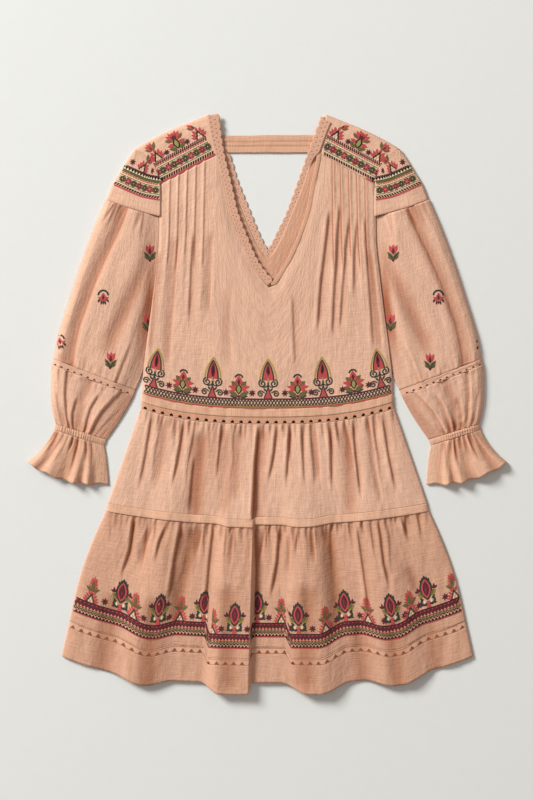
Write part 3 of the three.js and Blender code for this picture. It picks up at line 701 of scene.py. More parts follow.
# A flap folded over the shoulder line: its front half on top, its back half on the floor
def flapShape(mirror, frontAt, backAt, topAt, detail):
    def shape(t, v):
        onBack = t < shoulder["backShare"]
        s = np.where(onBack, 1 - t / shoulder["backShare"],
                     (t - shoulder["backShare"]) / (1 - shoulder["backShare"]))
        frontX, frontY = frontAt(s, v)
        backX, backY = backAt(s, v)
        x, y = np.where(onBack, backX, frontX), np.where(onBack, backY, frontY)
        turn = np.sqrt(np.clip(s / 0.05, 0, 1))
        bump, fold = detail(s, v, x, y)
        top = mix(shoulder["fold"], topAt(s, v) + bump, turn)
        z = np.where(onBack, mix(shoulder["fold"], 0, turn), top)
        # The half on the floor gets a little painted shade
        return mirror * x, y, z, np.where(onBack, 0.2, fold)
    return shape


def yokeShape(mirror):
    neckX = 5 if mirror < 0 else 0
    shoulderLine = curve([(-90, 450.7), (-149, 427), (-187, 408), (-207, 395.5)])
    armSide = curve([(-207, 395.5), (-198.6, 392.2), (-178, 373.2), (-168.3, 341.3)])
    seam = lambda v: (mix(-79 - neckX, -168, v), mix(388, 341, v))

    def frontAt(s, v):
        x, y = between(shoulderLine(v), seam(v), s)
        armX, armY = armSide(s)
        ruledX, ruledY = mix(-207, -168, s), mix(395.5, 341, s)
        return x + (armX - ruledX) * v ** 3, y + (armY - ruledY) * v ** 3

    def backAt(s, v):
        return between(shoulderLine(v), between(bodice["backCorner"], bodice["backArm"], v), s)

    def detail(s, v, x, y):
        return 0.25 * softNoise(x, y, 14, 14, 31), 0 * x

    topAt = lambda s, v: shoulder["rest"] + 1.9 * np.minimum(1, s * 4)
    return flapShape(mirror, frontAt, backAt, topAt, detail)


def capShape(mirror):
    outer = curve([(-207.4, 395), (-221, 376), (-230, 362), (-243, 341), capOuter])
    inner = curve([(-197.4, 393.4), (-177, 373), (-166.9, 341.3), (-165.8, 291)])
    innerBack = curve([(-203, 388.2), (-185.6, 365.6), (-177, 345), (-163, 291)])

    def ruled(innerEdge):
        def place(s, v):
            x, y = between(outer(v), innerEdge(v), s)
            return x, y - 2 * np.sin(pi * s) * v * v
        return place

    def detail(s, v, x, y):
        # Painted shade towards the cap's lower edge, over the sleeve
        return 0.3 * softNoise(x, y, 12, 12, 32), 0.15 * smooth(0.9, 1, v)

    topAt = lambda s, v: shoulder["rest"] + (2.2 + 1.1 * v * v) * np.minimum(1, s * 4)
    return flapShape(mirror, ruled(inner), ruled(innerBack), topAt, detail)


sleeveCreases = [   # [down, across] points, width, depth, lip
    ([(0, 0.38), (0.14, 0.34), (0.3, 0.27), (0.5, 0.21), (0.75, 0.18), (1, 0.21)], 12, 3.4, 1),
    ([(0.1, 1.0), (0.25, 0.86), (0.4, 0.75), (0.55, 0.66), (0.75, 0.58), (0.95, 0.55)], 12, 3.2, 0),
    ([(0.22, 0.96), (0.34, 0.88), (0.46, 0.82)], 6, 1.8, -1),
    ([(0.28, 0.99), (0.42, 0.93), (0.6, 0.9), (0.8, 0.86)], 9, 3.0, 0),
    ([(0.42, 1.0), (0.6, 0.95), (0.8, 0.92)], 5, 2.2, -1),
    ([(0, 0.12), (0.1, 0.11), (0.2, 0.1)], 4, 1.2, -1),
    ([(0, 0.22), (0.1, 0.2), (0.22, 0.17)], 4, 1.5, -1),
    ([(0, 0.3), (0.08, 0.28), (0.16, 0.26)], 4, 1.3, -1),
    ([(0, 0.72), (0.1, 0.71), (0.22, 0.72)], 4, 1.2, -1),
    ([(0.02, 0.93), (0.14, 0.93), (0.24, 0.9)], 5, 1.8, -1),
    ([(0.72, 0.8), (0.85, 0.78), (1, 0.76)], 5, 1.4, -1),
]
lowerSleeveCreases = [
    ([(0, 0.2), (0.4, 0.21), (1, 0.27)], 5, 2.0, -1), ([(0.4, 0.37), (0.7, 0.34), (1, 0.37)], 5, 1.8, -1),
    ([(0, 0.48), (0.4, 0.43), (1, 0.47)], 8, 2.2, 0), ([(0.2, 0.63), (0.5, 0.58), (1, 0.57)], 5, 1.9, -1),
    ([(0, 0.86), (0.5, 0.74), (1, 0.68)], 8, 2.6, -1), ([(0.2, 0.97), (0.6, 0.88), (1, 0.79)], 6, 2.2, -1),
    ([(0.4, 0.08), (1, 0.15)], 4, 1.4, -1), ([(0.5, 0.97), (1, 0.9)], 4, 1.6, -1),
]


def routeRelief(s, v, width, creases):
    sink, fold = np.zeros_like(s), np.zeros_like(s)
    for points, wide, depth, lip in creases:
        vs, ss = np.array(points, float).T
        profile, tint = foldProfile((s - np.interp(v, vs, ss)) * width, wide, lip)
        strength = smooth(vs[0] - 0.04, vs[0] + 0.12, v) if vs[0] > 0 else 1
        strength = strength * (1 if vs[-1] >= 1 else 1 - smooth(vs[-1] - 0.2, vs[-1], v))
        sink += strength * depth * profile
        fold += strength * foldShadeTint["sleeve"] * depth * tint
    return sink, fold


laceTop, laceEnd = [(-332.5, 70), (-205.5, 21)], [(-335.5, 61), (-208.5, 12)]
casingTop, casingEnd = [(-329.8, -30.5), (-250.5, -55.5)], [(-331.5, -40), (-254, -65)]
straight = lambda top, end, side: lambda v: between(top[side], end[side], v)
sleeveStretches = {
    "sleeve_upper": {
        "outer": curve([capOuter, (-271, 273), (-292, 216), (-310, 160), (-327, 104), laceTop[0]]),
        "inner": curve([capInner, (-167, 250), (-168, 208), (-173, 146), (-184, 83), (-197, 41),
                        laceTop[1]]),
        "high": (6.5, 8), "long": 255, "grid": (150, 88), "cut": (0.34, 0.26), "creases": sleeveCreases},
    "sleeve_lace": {
        "outer": straight(laceTop, laceEnd, 0), "inner": straight(laceTop, laceEnd, 1),
        "high": (8, 8), "grid": (200, 9), "cut": (0.27, 0.0105), "creases": []},
    "sleeve_lower": {
        "outer": curve([laceEnd[0], (-337, 30), (-335.5, -5), casingTop[0]]),
        "inner": curve([laceEnd[1], (-222, -13), (-236, -35), casingTop[1]]),
        "high": (8, 5), "long": 88, "grid": (160, 36), "cut": (0.27, 0.09), "creases": lowerSleeveCreases},
    "cuff_casing": {
        "outer": straight(casingTop, casingEnd, 0), "inner": straight(casingTop, casingEnd, 1),
        "high": (5, 5), "grid": (190, 8), "cut": (0.18, 0.012), "creases": []},
    "cuff_ruffle": {
        "outer": curve([casingEnd[0], (-341, -58), (-357, -78), (-373, -92)]),
        "inner": curve([casingEnd[1], (-250.5, -87), (-247, -124)]),
        "high": (4.5, 8), "long": 56, "grid": (176, 24), "cut": (0.27, 0.068), "creases": []},
}


def sleeveShape(name, mirror):
    stretch = sleeveStretches[name]
    seed = 41 + (mirror < 0) * 10

    def shape(t, v):
        onFront, s = aroundFold(t, shoulder["frontShare"])
        outerAt, innerAt = stretch["outer"](v), stretch["inner"](v)
        x, y = between(outerAt, innerAt, s)
        bend = np.sin(pi * s)
        if name == "sleeve_upper":
            y = y - 2 * bend * (1 - v) ** 2
        if name == "cuff_ruffle":
            y = y - 12 * bend * v * v + 1.6 * v * np.sin(s * 29 + 1)
        width = np.hypot(outerAt[0] - innerAt[0], outerAt[1] - innerAt[1])
        air = smooth(2, 38, (1 - s) * width)
        height = mix(*stretch["high"], v) * air
        sink, fold = routeRelief(s, v, width, stretch["creases"])
        along, toInner, shade = s * width, (1 - s) * width, 0
        if name == "sleeve_upper":
            part = gatherRelief(along, v * stretch["long"], 45, 42, 6, 40, 1.2, seed)
            near = gatherRelief(along, (1 - v) * stretch["long"], 65, 62, 16, 22, 0.9, seed + 1)
            # Painted shade in the wedge under the arm, beside the bodice
            shade = 0.95 * bell((v - 0.55) / 0.26) * smooth(27, 13, toInner)
            sink, fold = sink + part[0] + near[0], fold + part[1] + near[1]
        if name == "sleeve_lower":
            # Painted shade along the inner side of the lower sleeve
            shade = 0.45 * smooth(24, 6, toInner)
            half = width / 2
            near = gatherRelief(along, (1 - v) * stretch["long"], half, half, 15, 36, 1.5, seed + 2)
            top = gatherRelief(along, v * stretch["long"], half, half, 15, 22, 0.8, seed + 3)
            sink, fold = sink + near[0] + top[0], fold + near[1] + top[1]
        if name == "cuff_casing":
            step = (along / 3.8 + 0.4 * softNoise(along, v * 10, 9, 30, seed)) % 1
            pucker = bell((step - 0.5) / 0.22)
            # Painted shade in the casing's puckers
            sink, fold = sink + 0.7 * pucker, fold + 0.45 * pucker
            height = height + 0.9 * np.sin(pi * v)
        if name == "cuff_ruffle":
            near = gatherRelief(along, v * stretch["long"], width / 2, width / 2, 15, 50, 2.2, seed + 4)
            sink, fold = sink + near[0], fold + near[1]
            wave = np.sin(s * 27 + 1.2 * np.sin(s * 9))
            height = height + 3.2 * v * wave * air
            # Painted shade in the troughs of the ruffle's waves
            fold = fold + 0.42 * v * np.clip(-wave, 0, 1)
        down = v * shoulder["rippleLong"]
        ripple = 0.5 * softNoise(along, down, 12, 42, seed + 5)
        ripple = ripple + 0.25 * softNoise(along, down, 7, 14, seed + 6)
        height = np.maximum(0, height + (ripple - sink) * air)
        dive = mix(1.2, 11, smooth(0, 0.35, v)) if name == "sleeve_upper" else 6
        hidden = 5 * bell((v - 0.5) / 0.25) if name == "sleeve_upper" else 0
        turn = np.sqrt(np.clip(np.minimum(along / 12, (toInner - hidden) / dive), 0, 1))
        top = shoulder["fold"] + (3.2 - shoulder["fold"] + height) * turn
        z = np.where(onFront, top, shoulder["fold"] * (1 - turn))
        # The underside layer gets a little painted shade
        return mirror * x, y, z, np.where(onFront, fold * air + shade, 0.2)
    return shape


def sideName(mirror):
    return "left" if mirror > 0 else "right"


frontSurfaces = {}
sleeveCloth = {"cuff_casing": gauzeCuff, "cuff_ruffle": gauzeCuff}
for mirror in (1, -1):
    side = sideName(mirror)
    yoke = clothPiece(f"yoke_{side}_cloth", 40, 40, yokeShape(mirror), (0.10, 0.13), shoulder["wall"],
                      gauze)
    standsFor(yoke, "gauze", (0.13, 0.13), "folded", [], f"yoke_{side}")
    cap = clothPiece(f"sleeve_cap_{side}_cloth", 46, 40, capShape(mirror), (0.16, 0.09), shoulder["wall"],
                     gauze)
    standsFor(cap, "gauze", (0.16, 0.085), "folded", [], f"sleeve_cap_{side}")
    frontSurfaces[f"yoke_{side}"], frontSurfaces[f"cap_{side}"] = yoke, cap
    for stretchName, stretch in sleeveStretches.items():
        isLace = stretchName == "sleeve_lace"
        cut = stretch["cut"]
        piece = clothPiece(f"{stretchName}_{side}_cloth", *stretch["grid"],
                           sleeveShape(stretchName, mirror), cut, shoulder["laceWall" if isLace else "wall"],
                           laceFine if isLace else sleeveCloth.get(stretchName, gauze), ring=True,
                           hole=laceHoles(smallHoles) if isLace else None)
        standsFor(piece, "lace" if isLace else "gauze", cut, "laid" if isLace else "gathered", [],
                  f"{stretchName}_{side}", area=laceFill * cut[0] * cut[1] if isLace else None)
        frontSurfaces[f"{stretchName}_{side}"] = piece

print("stage: neck")

neck = {"band": 7, "scallop": 13, "laceWall": 0.6, "strapWall": 0.8, "strapHalf": 76,
        "strapY": 391, "strapDepth": 27}


# A strip beside a neck edge, on its left as the edge runs
def neckShape(edge, wide, rest, spread=0):
    def shape(t, v):
        x, y, normalX, normalY = pathFrame(edge, t)
        reach = wide(t, v) if callable(wide) else wide
        near = smooth(0.3, 0.1, t)
        out = mix(-spread * near, reach, v)
        z = rest + 1.1 * near if spread else rest - 0.5 * smooth(0.35, 0, v)
        return x + normalX * out, y + normalY * out, z, 0.1 + 0 * t
    return shape


leftEdge = curve([(-89, 449), *leftNeck, (0, 184)])
rightEdge = curve([(6, 184), *rightNeck, (89.3, 446)])


def scalloped(length, low, high):
    def wide(t, v):
        arc = np.abs(np.sin(pi * t * length / neck["scallop"]))
        return mix(low, high, np.sqrt(arc))
    return wide


laceHole = lambda column, row: (row == 5 and column % 8 == 1) or (row == 2 and column % 8 == 5)
# The left lace spreads over the yoke at the shoulder
leftWide = lambda t, v: scalloped(300, 9.6, 13)(t, v) + 1.5 * smooth(0.2, 0.02, t)
leftLace = clothPiece("neck_lace_front_left_cloth", 320, 9, neckShape(leftEdge, leftWide, 5.4, 5),
                      (0.30, 0.012), neck["laceWall"], laceFine, hole=laceHole)
standsFor(leftLace, "lace", (0.30, 0.0125), "laid", ["bodice_front"], "neck_lace_front_left")
rightBand = clothPiece("neck_band_front_right_cloth", 160, 6, neckShape(rightEdge, neck["band"], 5.2),
                       (0.30, 0.007), neck["laceWall"], binding)
standsFor(rightBand, "binding", (0.30, 0.010), "laid", ["bodice_front"], "neck_band_front_right",
          area=0.0024)

backLeft = curve([(-88, 444), *backHalf])
backRight = curve([(-93, 440), (-85, 421), (-70.5, 380), (-57.5, 343), (-39.5, 294), (-27.5, 269),
                   (-13, 240), (0, 227)])


# The strip round the back neck is mitred at the point of the V and widens at the right shoulder
def backLaceShape(t, v):
    onLeft = t <= 0.5
    half = np.where(onLeft, t * 2, 2 - t * 2)

    def pathAt(share):
        (leftX, leftY), (rightX, rightY) = backLeft(share), backRight(share)
        return np.where(onLeft, leftX, rightX), np.where(onLeft, leftY, rightY)

    x, y, normalX, normalY = pathFrame(pathAt, half)
    near = smooth(0.34, 0.2, half)
    spread = np.where(onLeft, 0, 6.5 * near ** 3)
    out = mix(-spread, scalloped(245, 8.4, 11.6)(half, v), v)
    x, y = x + normalX * out, y + normalY * out
    cut = x > 0
    y = np.where(cut, y + 0.9 * x, y)
    x = np.where(cut, 0, x)
    z = 1.0 + np.where(onLeft, 2.6, 5.5) * near
    return np.where(onLeft, x, -x), y, z, 0.05 + 0 * t


backLace = clothPiece("neck_lace_back_cloth", 480, 9, backLaceShape, (0.50, 0.011), neck["laceWall"],
                      laceFine, hole=laceHole)
standsFor(backLace, "lace", (0.50, 0.0115), "laid", [], "neck_lace_back")


def strapShape(t, v):
    x = mix(-neck["strapHalf"], neck["strapHalf"], t) + 2
    y = neck["strapY"] + neck["strapDepth"] * (1 - v) + 0.8 * softNoise(x, v * 27, 30, 60, 61)
    seams = bell((v - 0.36) / 0.05) + bell((v - 0.62) / 0.05)
    z = 2.2 + 0.25 * softNoise(x, y, 14, 8, 62) - 0.35 * seams
    # Painted shade in the seam grooves
    return x, y, z, 0.45 * seams


strap = clothPiece("neck_strap_cloth", 100, 24, strapShape, (0.16, 0.027), neck["strapWall"], binding)
standsFor(strap, "binding", (0.16, 0.03), "laid", [], "neck_strap")

print("stage: embroidery")

threads = {
    "coral": threadMaterial("coral_stranded_cotton", "#C24E4D"),
    "maroon": threadMaterial("maroon_stranded_cotton", "#5E2A31"),
    "charcoal": threadMaterial("charcoal_green_stranded_cotton", "#383C36"),
    "black": threadMaterial("black_brown_stranded_cotton", "#2C1E20"),
    "olive": threadMaterial("olive_stranded_cotton", "#6B6139"),
    "ochre": threadMaterial("ochre_stranded_cotton", "#917E3C"),
    "mustard": threadMaterial("mustard_stranded_cotton", "#B4994C"),
    "lime": threadMaterial("lime_stranded_cotton", "#9C9656"),
    "cream": threadMaterial("cream_stranded_cotton", "#E9D3A8"),
    # Not a thread: painted shade for the hollows under the hem lace's openings, laid on like a stitch patch
    "painted_opening_shade": threadMaterial("shaded_openwork_thread", "#9A563A"),
    "clay": threadMaterial("lace_edging_thread", "#B9795A"),
    "salmon": threadMaterial("salmon_stranded_cotton", "#E08A72"),
}
threadOrder = list(threads)
stitching = {"thick": 0.35, "step": 0.16, "clear": 0.02}

# A motif is a list of patches: thread, level and outline. Its outline is in mm from the foot of the
# motif, across and up. Level says how many patches lie beneath it.


def patch(thread, points, level=0):
    return thread, level, points


# A pointed leaf from its base, angle turned clockwise from upright
def leaf(thread, base, angle, length, width, level=0, belly=0.85):
    turn = math.radians(angle)
    along, aside = (math.sin(turn), math.cos(turn)), (math.cos(turn), -math.sin(turn))
    shares = [k / 5 for k in range(6)]
    halves = [width / 2 * math.sin(pi * share ** belly) for share in shares]
    sides = [[(base[0] + along[0] * length * share + sign * aside[0] * half,
               base[1] + along[1] * length * share + sign * aside[1] * half)
              for share, half in zip(shares, halves)] for sign in (1, -1)]
    return patch(thread, sides[0] + sides[1][-2:0:-1], level)


def stroke(thread, points, width, level=0):
    made = []
    for (x0, y0), (x1, y1) in zip(points, points[1:]):
        length = math.hypot(x1 - x0, y1 - y0)
        dx, dy = (x1 - x0) / length, (y1 - y0) / length
        lap, half = 0.15 * width, width / 2
        made.append(patch(thread, [(x0 - dx * lap - dy * half, y0 - dy * lap + dx * half),
                                   (x0 - dx * lap + dy * half, y0 - dy * lap - dx * half),
                                   (x1 + dx * lap + dy * half, y1 + dy * lap - dx * half),
                                   (x1 + dx * lap - dy * half, y1 + dy * lap + dx * half)], level))
    return made


# A pointed arch, from its left foot over the point to its right foot
def ogive(half, low, high, power=1.8, count=6):
    shares = [k / count for k in range(count + 1)]
    rightSide = [(half * (1 - share ** power), mix(low, high, share)) for share in shares]
    return [(-x, y) for x, y in rightSide] + rightSide[-2::-1]


# Points round a circle, by angles in radians clockwise from upright
def arcPoints(centre, radius, angles):
    return [(centre[0] + radius * math.sin(a), centre[1] + radius * math.cos(a)) for a in angles]


def spiral(centre, radius, start, turns, count=10):
    points = []
    for k in range(count + 1):
        share = k / count
        angle = math.radians(start) + turns * 2 * pi * share
        reach = radius * (1 - 0.82 * share)
        points.append((centre[0] + reach * math.sin(angle), centre[1] + reach * math.cos(angle)))
    return points


def moved(motif, across=0, up=0, turn=0, scale=1, flip=1):
    angle = math.radians(turn)
    cos, sin = math.cos(angle), math.sin(angle)
    place = lambda x, y: (across + scale * (flip * x * cos + y * sin),
                          up + scale * (y * cos - flip * x * sin))
    return [(thread, level, [place(x, y) for x, y in points]) for thread, level, points in motif]


# A motif cut off at a pleat, where the rest of it runs underneath
def tucked(motif, low, high):
    least = 0.3
    kept = [item for item in motif if min(x for x, y in item[2]) < high - least
            and max(x for x, y in item[2]) > low + least]
    return [(thread, level, [(min(max(x, low), high), y) for x, y in points])
            for thread, level, points in kept]


def star():
    return [leaf("maroon", (0, 0), k * 51.4, 5.8, 2.5, 0, 0.75) for k in range(7)]


def temple():
    made = [patch("coral", ogive(7.8, 28.5, 55.5, 2.2), 0), leaf("maroon", (0, 29.5), 0, 24, 6.0, 1, 0.95),
            leaf("black", (0, 34), 0, 15, 2, 2)]
    made += stroke("mustard", ogive(12.8, 28, 61.5, 2.0), 2.2)
    made += stroke("charcoal", ogive(8.6, 28, 57, 2.2), 1.9, 1)
    made += [patch("coral", [(-5.4, 0.5), (5.4, 0.5), (0.6, 15), (-0.6, 15)], 0)]
    made += stroke("charcoal", [(0, 15), (0, 27)], 2.4, 1)
    for side in (-1, 1):
        made += stroke("charcoal", [(side * 6, 0.8), (side * 2.8, 8.5), (side * 0.9, 15.5)], 1.7, 1)
        made += stroke("charcoal", spiral((side * 8.8, 23.4), 6.5, side * 20, side * 1.4, 13), 1.9, 1)
        made += stroke("charcoal", [(side * 0.6, 20.5), (side * 3.4, 18.2), (side * 8, 17.8)], 1.7, 1)
        made += stroke("charcoal", spiral((side * 11.8, 7.2), 5.4, -side * 60, side * 1.4, 12), 1.8, 1)
        made += [leaf("charcoal", (side * 3.2, 11), side * 35, 7, 3, 0),
                 leaf("olive", (side * 4.6, 8.5), side * 62, 6, 2.6, 0)]
    made += [leaf("salmon", (0, 28.5), 0, 3, 2.6, 3), leaf("mustard", (0, 24.5), 0, 3.6, 3.2, 2)]
    return made


def flower():
    made = [patch("coral", ogive(6.2, 21.5, 35.5, 2.0), 0), leaf("maroon", (0, 21.5), 0, 8.5, 4.4, 1),
            leaf("black", (0, 6), 0, 16.5, 11, 0, 1.0), leaf("lime", (0, 8), 0, 12.5, 6.2, 1, 1.0),
            leaf("maroon", (0, 0.2), 0, 5.6, 4.2, 1)]
    made += stroke("charcoal", arcPoints((0, 31), 6.0, (-1.3, -0.8, -0.3, 0.3, 0.8, 1.3)), 2.6)
    for side in (-1, 1):
        made += [leaf("olive", (side * 3.2, 19), side * 50, 11.5, 7.4, 0, 0.8),
                 leaf("coral", (side * 4, 15.5), side * 76, 13.5, 5.2, 1),
                 leaf("coral", (side * 4, 13), side * 100, 11.5, 4.2, 0),
                 leaf("coral", (side * 4.6, 17), side * 58, 8.5, 3.6, 0),
                 leaf("olive", (side * 1, 3), side * 64, 16, 7.6, 1, 0.8),
                 leaf("charcoal", (side * 1.6, 1.8), side * 82, 13, 4.6, 0)]
    return made


# The taller hem plant: a feathered oval bud between leaves
def budPlant():
    made = []
    rims = (("charcoal", 8.3, 13.5, 46.3, 3.4, 0), ("coral", 6.0, 16, 43, 2.2, 1))
    for side in (-1, 1):
        for thread, half, low, high, width, level in rims:
            rim = [(side * half * math.sin(pi * k / 8) ** 0.8, mix(low, high, k / 8)) for k in range(9)]
            made += stroke(thread, rim, width, level)
    made += [leaf("charcoal", (side * 2.1, 42.6 - 2.4 * abs(side)), side * 12, 7.4, 4.4, 0)
             for side in (-2, -1, 0, 1, 2)]
    made += [leaf("maroon", (0, 17.5), 0, 24, 11.4, 0, 1.0),
             leaf("coral", (0, 21.5), 0, 15, 2.6, 2), leaf("black", (0, 22), 0, 14, 1.2, 3)]
    for side in (-1, 1):
        made += [leaf("ochre", (side * 5, 18.5), side * 58, 11.5, 7.4, 0, 0.8),
                 leaf("olive", (side * 6, 19), side * 40, 9.5, 3.4, 1, 0.8),
                 leaf("maroon", (side * 12, 26.5), side * 10, 8, 3.6, 1),
                 leaf("maroon", (side * 11.6, 27), side * -38, 6, 2.8, 1),
                 leaf("maroon", (side * 12.4, 26.5), side * 56, 6.4, 3, 1)]
        curl = [(side * x, y) for x, y in arcPoints((5.4, 10.4), 5, (3.9, 3.2, 2.5, 1.8, 1.1, 0.4))]
        made += stroke("charcoal", curl, 3.0, 1)
        made += [leaf("charcoal", (side * 8.4, 6.2), side * 100, 4.6, 3.0, 0),
                 leaf("charcoal", (side * 8.2, 14.4), side * 50, 4.6, 2.8, 0),
                 leaf("cream", (side * 5, 7.4), side * 10, 6.4, 3.2, 2, 0.8)]
    made += [patch("coral", [(-3.8, 0.3), (3.8, 0.3), (2.1, 5), (1.9, 11), (-1.9, 11), (-2.1, 5)], 2)]
    return made


# The smaller hem plant: a spiky plume over a stepped triangle
def plumePlant():
    made = [leaf("coral", (0, 23), 0, 17.5, 3, 1), leaf("olive", (0, 18), 0, 15.5, 5.2, 2, 0.8)]
    for side in (-1, 1):
        made += [leaf("coral", (side * 1.4, up), side * lean, 0.85 * long, 3.0, 1)
                 for up, lean, long in ((21, 50, 9), (25, 42, 8.5), (29, 34, 7.5), (33, 26, 6))]
        made += [leaf("olive", (side * 0.8, 17), side * 58, 11.5, 4.8, 2, 0.8)]
        made += [leaf("coral", (side * foot, up), side * lean, 7.6, 3.4, 0)
                 for foot, up, lean in ((5.4, 1, 62), (4.6, 4, 52), (3.4, 7.5, 42), (2, 11, 28))]
        made += stroke("charcoal", [(side * 6, 0.4), (0, 13)], 1.8, 1)
    made += [leaf("coral", (0, 11), 0, 8, 3, 0)]
    made += [leaf("cream", (x, y), 0, 3.6, 2.4, 1) for x, y in ((-2.4, 0.4), (2.4, 0.4), (0, 4))]
    return made


# The shoulder plant: a triangle with spikes, and a bud on a bent stem
def shoulderPlant():
    made = [leaf("coral", (foot, up), lean, 9, 4.4, 0)
            for foot, up, lean in ((-5, 2, -62), (-4.4, 5, -46), (-3, 8.5, -30), (0, 11, 0), (3, 8.5, 26),
                                   (4.4, 5, 44), (5, 2, 60))]
    for side in (-1, 1):
        made += stroke("black", [(side * 6, 0.4), (0, 13)], 1.9, 1)
    made += [leaf("cream", (x, y), 0, 3.8, 2.6, 1) for x, y in ((-2.4, 0.4), (2.4, 0.4), (0, 4.4))]
    made += stroke("olive", [(0, 16), (-1.5, 20)], 1.6, 0)
    made += [leaf("olive", (-2, 18), -66, 12, 5.8, 0, 0.8), leaf("olive", (-1, 18), 32, 13.5, 5.8, 0, 0.8)]
    made += [leaf("coral", (-2.4, 19), lean, 12.5, 5.4, 1) for lean in (-44, -20, 6)]
    made += [leaf("maroon", (-2.4, 19), -20, 6.5, 2.6, 2)]
    return made


def shoulderFlower():
    made = [leaf("coral", (0, 15.5), lean, 16.5, 6.2, 0) for lean in (-66, -44, -22, 0, 22, 44, 66)]
    made += [leaf("maroon", (0, 15), lean, 10.5, 3.4, 1) for lean in (-24, 0, 24)]
    made += [leaf("black", (0, 1), 0, 19, 11, 1, 1.0), leaf("lime", (0, 3.5), 0, 13.5, 6.2, 2, 1.0)]
    for side in (-1, 1):
        made += [leaf("olive", (side * 2, 1), side * 62, 14, 6.6, 0, 0.8),
                 leaf("olive", (side * 5, 17), side * 74, 10, 5, 1, 0.8),
                 leaf("coral", (side * 4, 10), side * 84, 11, 6.2, 1, 0.7)]
    return made


def archSprig():
    made = [patch("coral", ogive(4.2, 3, 13, 1.8), 1), leaf("maroon", (0, 4), 0, 6, 2.6, 2)]
    made += stroke("charcoal", arcPoints((0, 9.5), 6.4, (-1.5, -1, -0.5, 0, 0.5, 1, 1.5)), 2.2)
    for side in (-1, 1):
        made += [leaf("maroon", (side * 4.6, 5), side * 155, 5, 2.6, 1),
                 leaf("coral", (side * 2, 5), side * 62, 5.5, 2.8, 1),
                 leaf("maroon", (side * 2, 3), side * 170, 5.5, 2.2, 1)]
    made += [leaf("charcoal", (0, 3), 180, 5, 2, 1)]
    return made


def tulipSprig():
    made = [leaf("coral", (0, 4), lean, 12.5, 5.2, 0) for lean in (-24, 0, 24)]
    made += [leaf("maroon", (0, 3), 0, 9, 3.6, 1), leaf("maroon", (0, -6), 0, 7, 4, 0)]
    for side in (-1, 1):
        made += [leaf("olive", (0, -3), side * 36, 12.5, 5.4, 1, 0.8),
                 leaf("charcoal", (0, -3), side * 34, 10.5, 1.8, 2, 0.8),
                 leaf("maroon", (0, -2.5), side * 66, 7.5, 3.4, 0)]
    return made


def rowMiddles(start, end, pitch):
    return [start + (k + 0.5) * pitch for k in range(int((end - start) / pitch))]


# Short stitches of one thread along a row, from start to end, each leaning by slant mm
def stitchRow(thread, start, end, pitch, low, high, slant=0.0, part=0.8, level=0):
    half = pitch * part / 2
    return [patch(thread, [(s - half, low), (s + half, low), (s + half + slant, high),
                           (s - half + slant, high)], level) for s in rowMiddles(start, end, pitch)]


# Several rows over one stretch, each with its thread, pitch, low, high, slant, part and level
def stitchRows(start, end, *rows):
    return [stitch for row in rows for stitch in stitchRow(row[0], start, end, *row[1:])]


def teethRow(thread, start, end, pitch, low, high, level=0):
    return [patch(thread, [(s - 0.46 * pitch, low), (s + 0.46 * pitch, low), (s, high)], level)
            for s in rowMiddles(start, end, pitch)]


def zigzagRow(thread, start, end, pitch, low, high, width, level=0):
    count = int((end - start) / pitch)
    points = [(start + k * pitch / 2, low if k % 2 else high) for k in range(2 * count + 1)]
    return stroke(thread, points, width, level)


# Sews a motif list on cloth: band(s, d) gives x and y in mm, and a ray from above finds the cloth
def sew(name, patches, band, cloths):
    depsgraph = bpy.context.evaluated_depsgraph_get()
    trees = [BVHTree.FromObject(cloth, depsgraph) for cloth in cloths]
    bm = bmesh.new()
    for thread, level, points in patches:
        s, d = np.array(points, float).T
        xs, ys = band(s, d)
        corners = []
        for x, y in zip(xs, ys):
            above = Vector((x * mm, y * mm, 0.06))
            hits = [tree.ray_cast(above, Vector((0, 0, -1)))[0] for tree in trees]
            heights = [hit.z for hit in hits if hit is not None]
            if not heights:
                break
            lift = (stitching["clear"] + stitching["step"] * level) * mm
            corners.append((x * mm, y * mm, max(heights) + lift))
        if len(corners) == len(points):
            face = bm.faces.new([bm.verts.new(corner) for corner in corners])
            face.material_index = threadOrder.index(thread)
    base = list(bm.faces)
    raised = bmesh.ops.extrude_face_region(bm, geom=base, use_keep_orig=True)["geom"]
    lifted = [item for item in raised if isinstance(item, bmesh.types.BMVert)]
    bmesh.ops.translate(bm, vec=(0, 0, stitching["thick"] * mm), verts=lifted)
    bmesh.ops.recalc_face_normals(bm, faces=bm.faces)
    mesh = bpy.data.meshes.new(name)
    bm.to_mesh(mesh)
    bm.free()
    for thread in threadOrder:
        mesh.materials.append(threads[thread])
    piece = bpy.data.objects.new(name, mesh)
    bpy.context.scene.collection.objects.link(piece)
    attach(piece, body)


# Rows and motifs at the bodice's lower edge. The band's top line dips with the waist seam.
waistWork = {"topY": 8.4, "reach": 191, "latticeWide": 5.0, "latticeLow": -11.4}


def waistBand(s, d):
    topLine = lambda x: waistWork["topY"] + waistRise(x)
    slope = topLine(s + 0.5) - topLine(s - 0.5)
    length = np.sqrt(1 + slope ** 2)
    return s - 0.5 * d * slope / length, topLine(s) + d / length


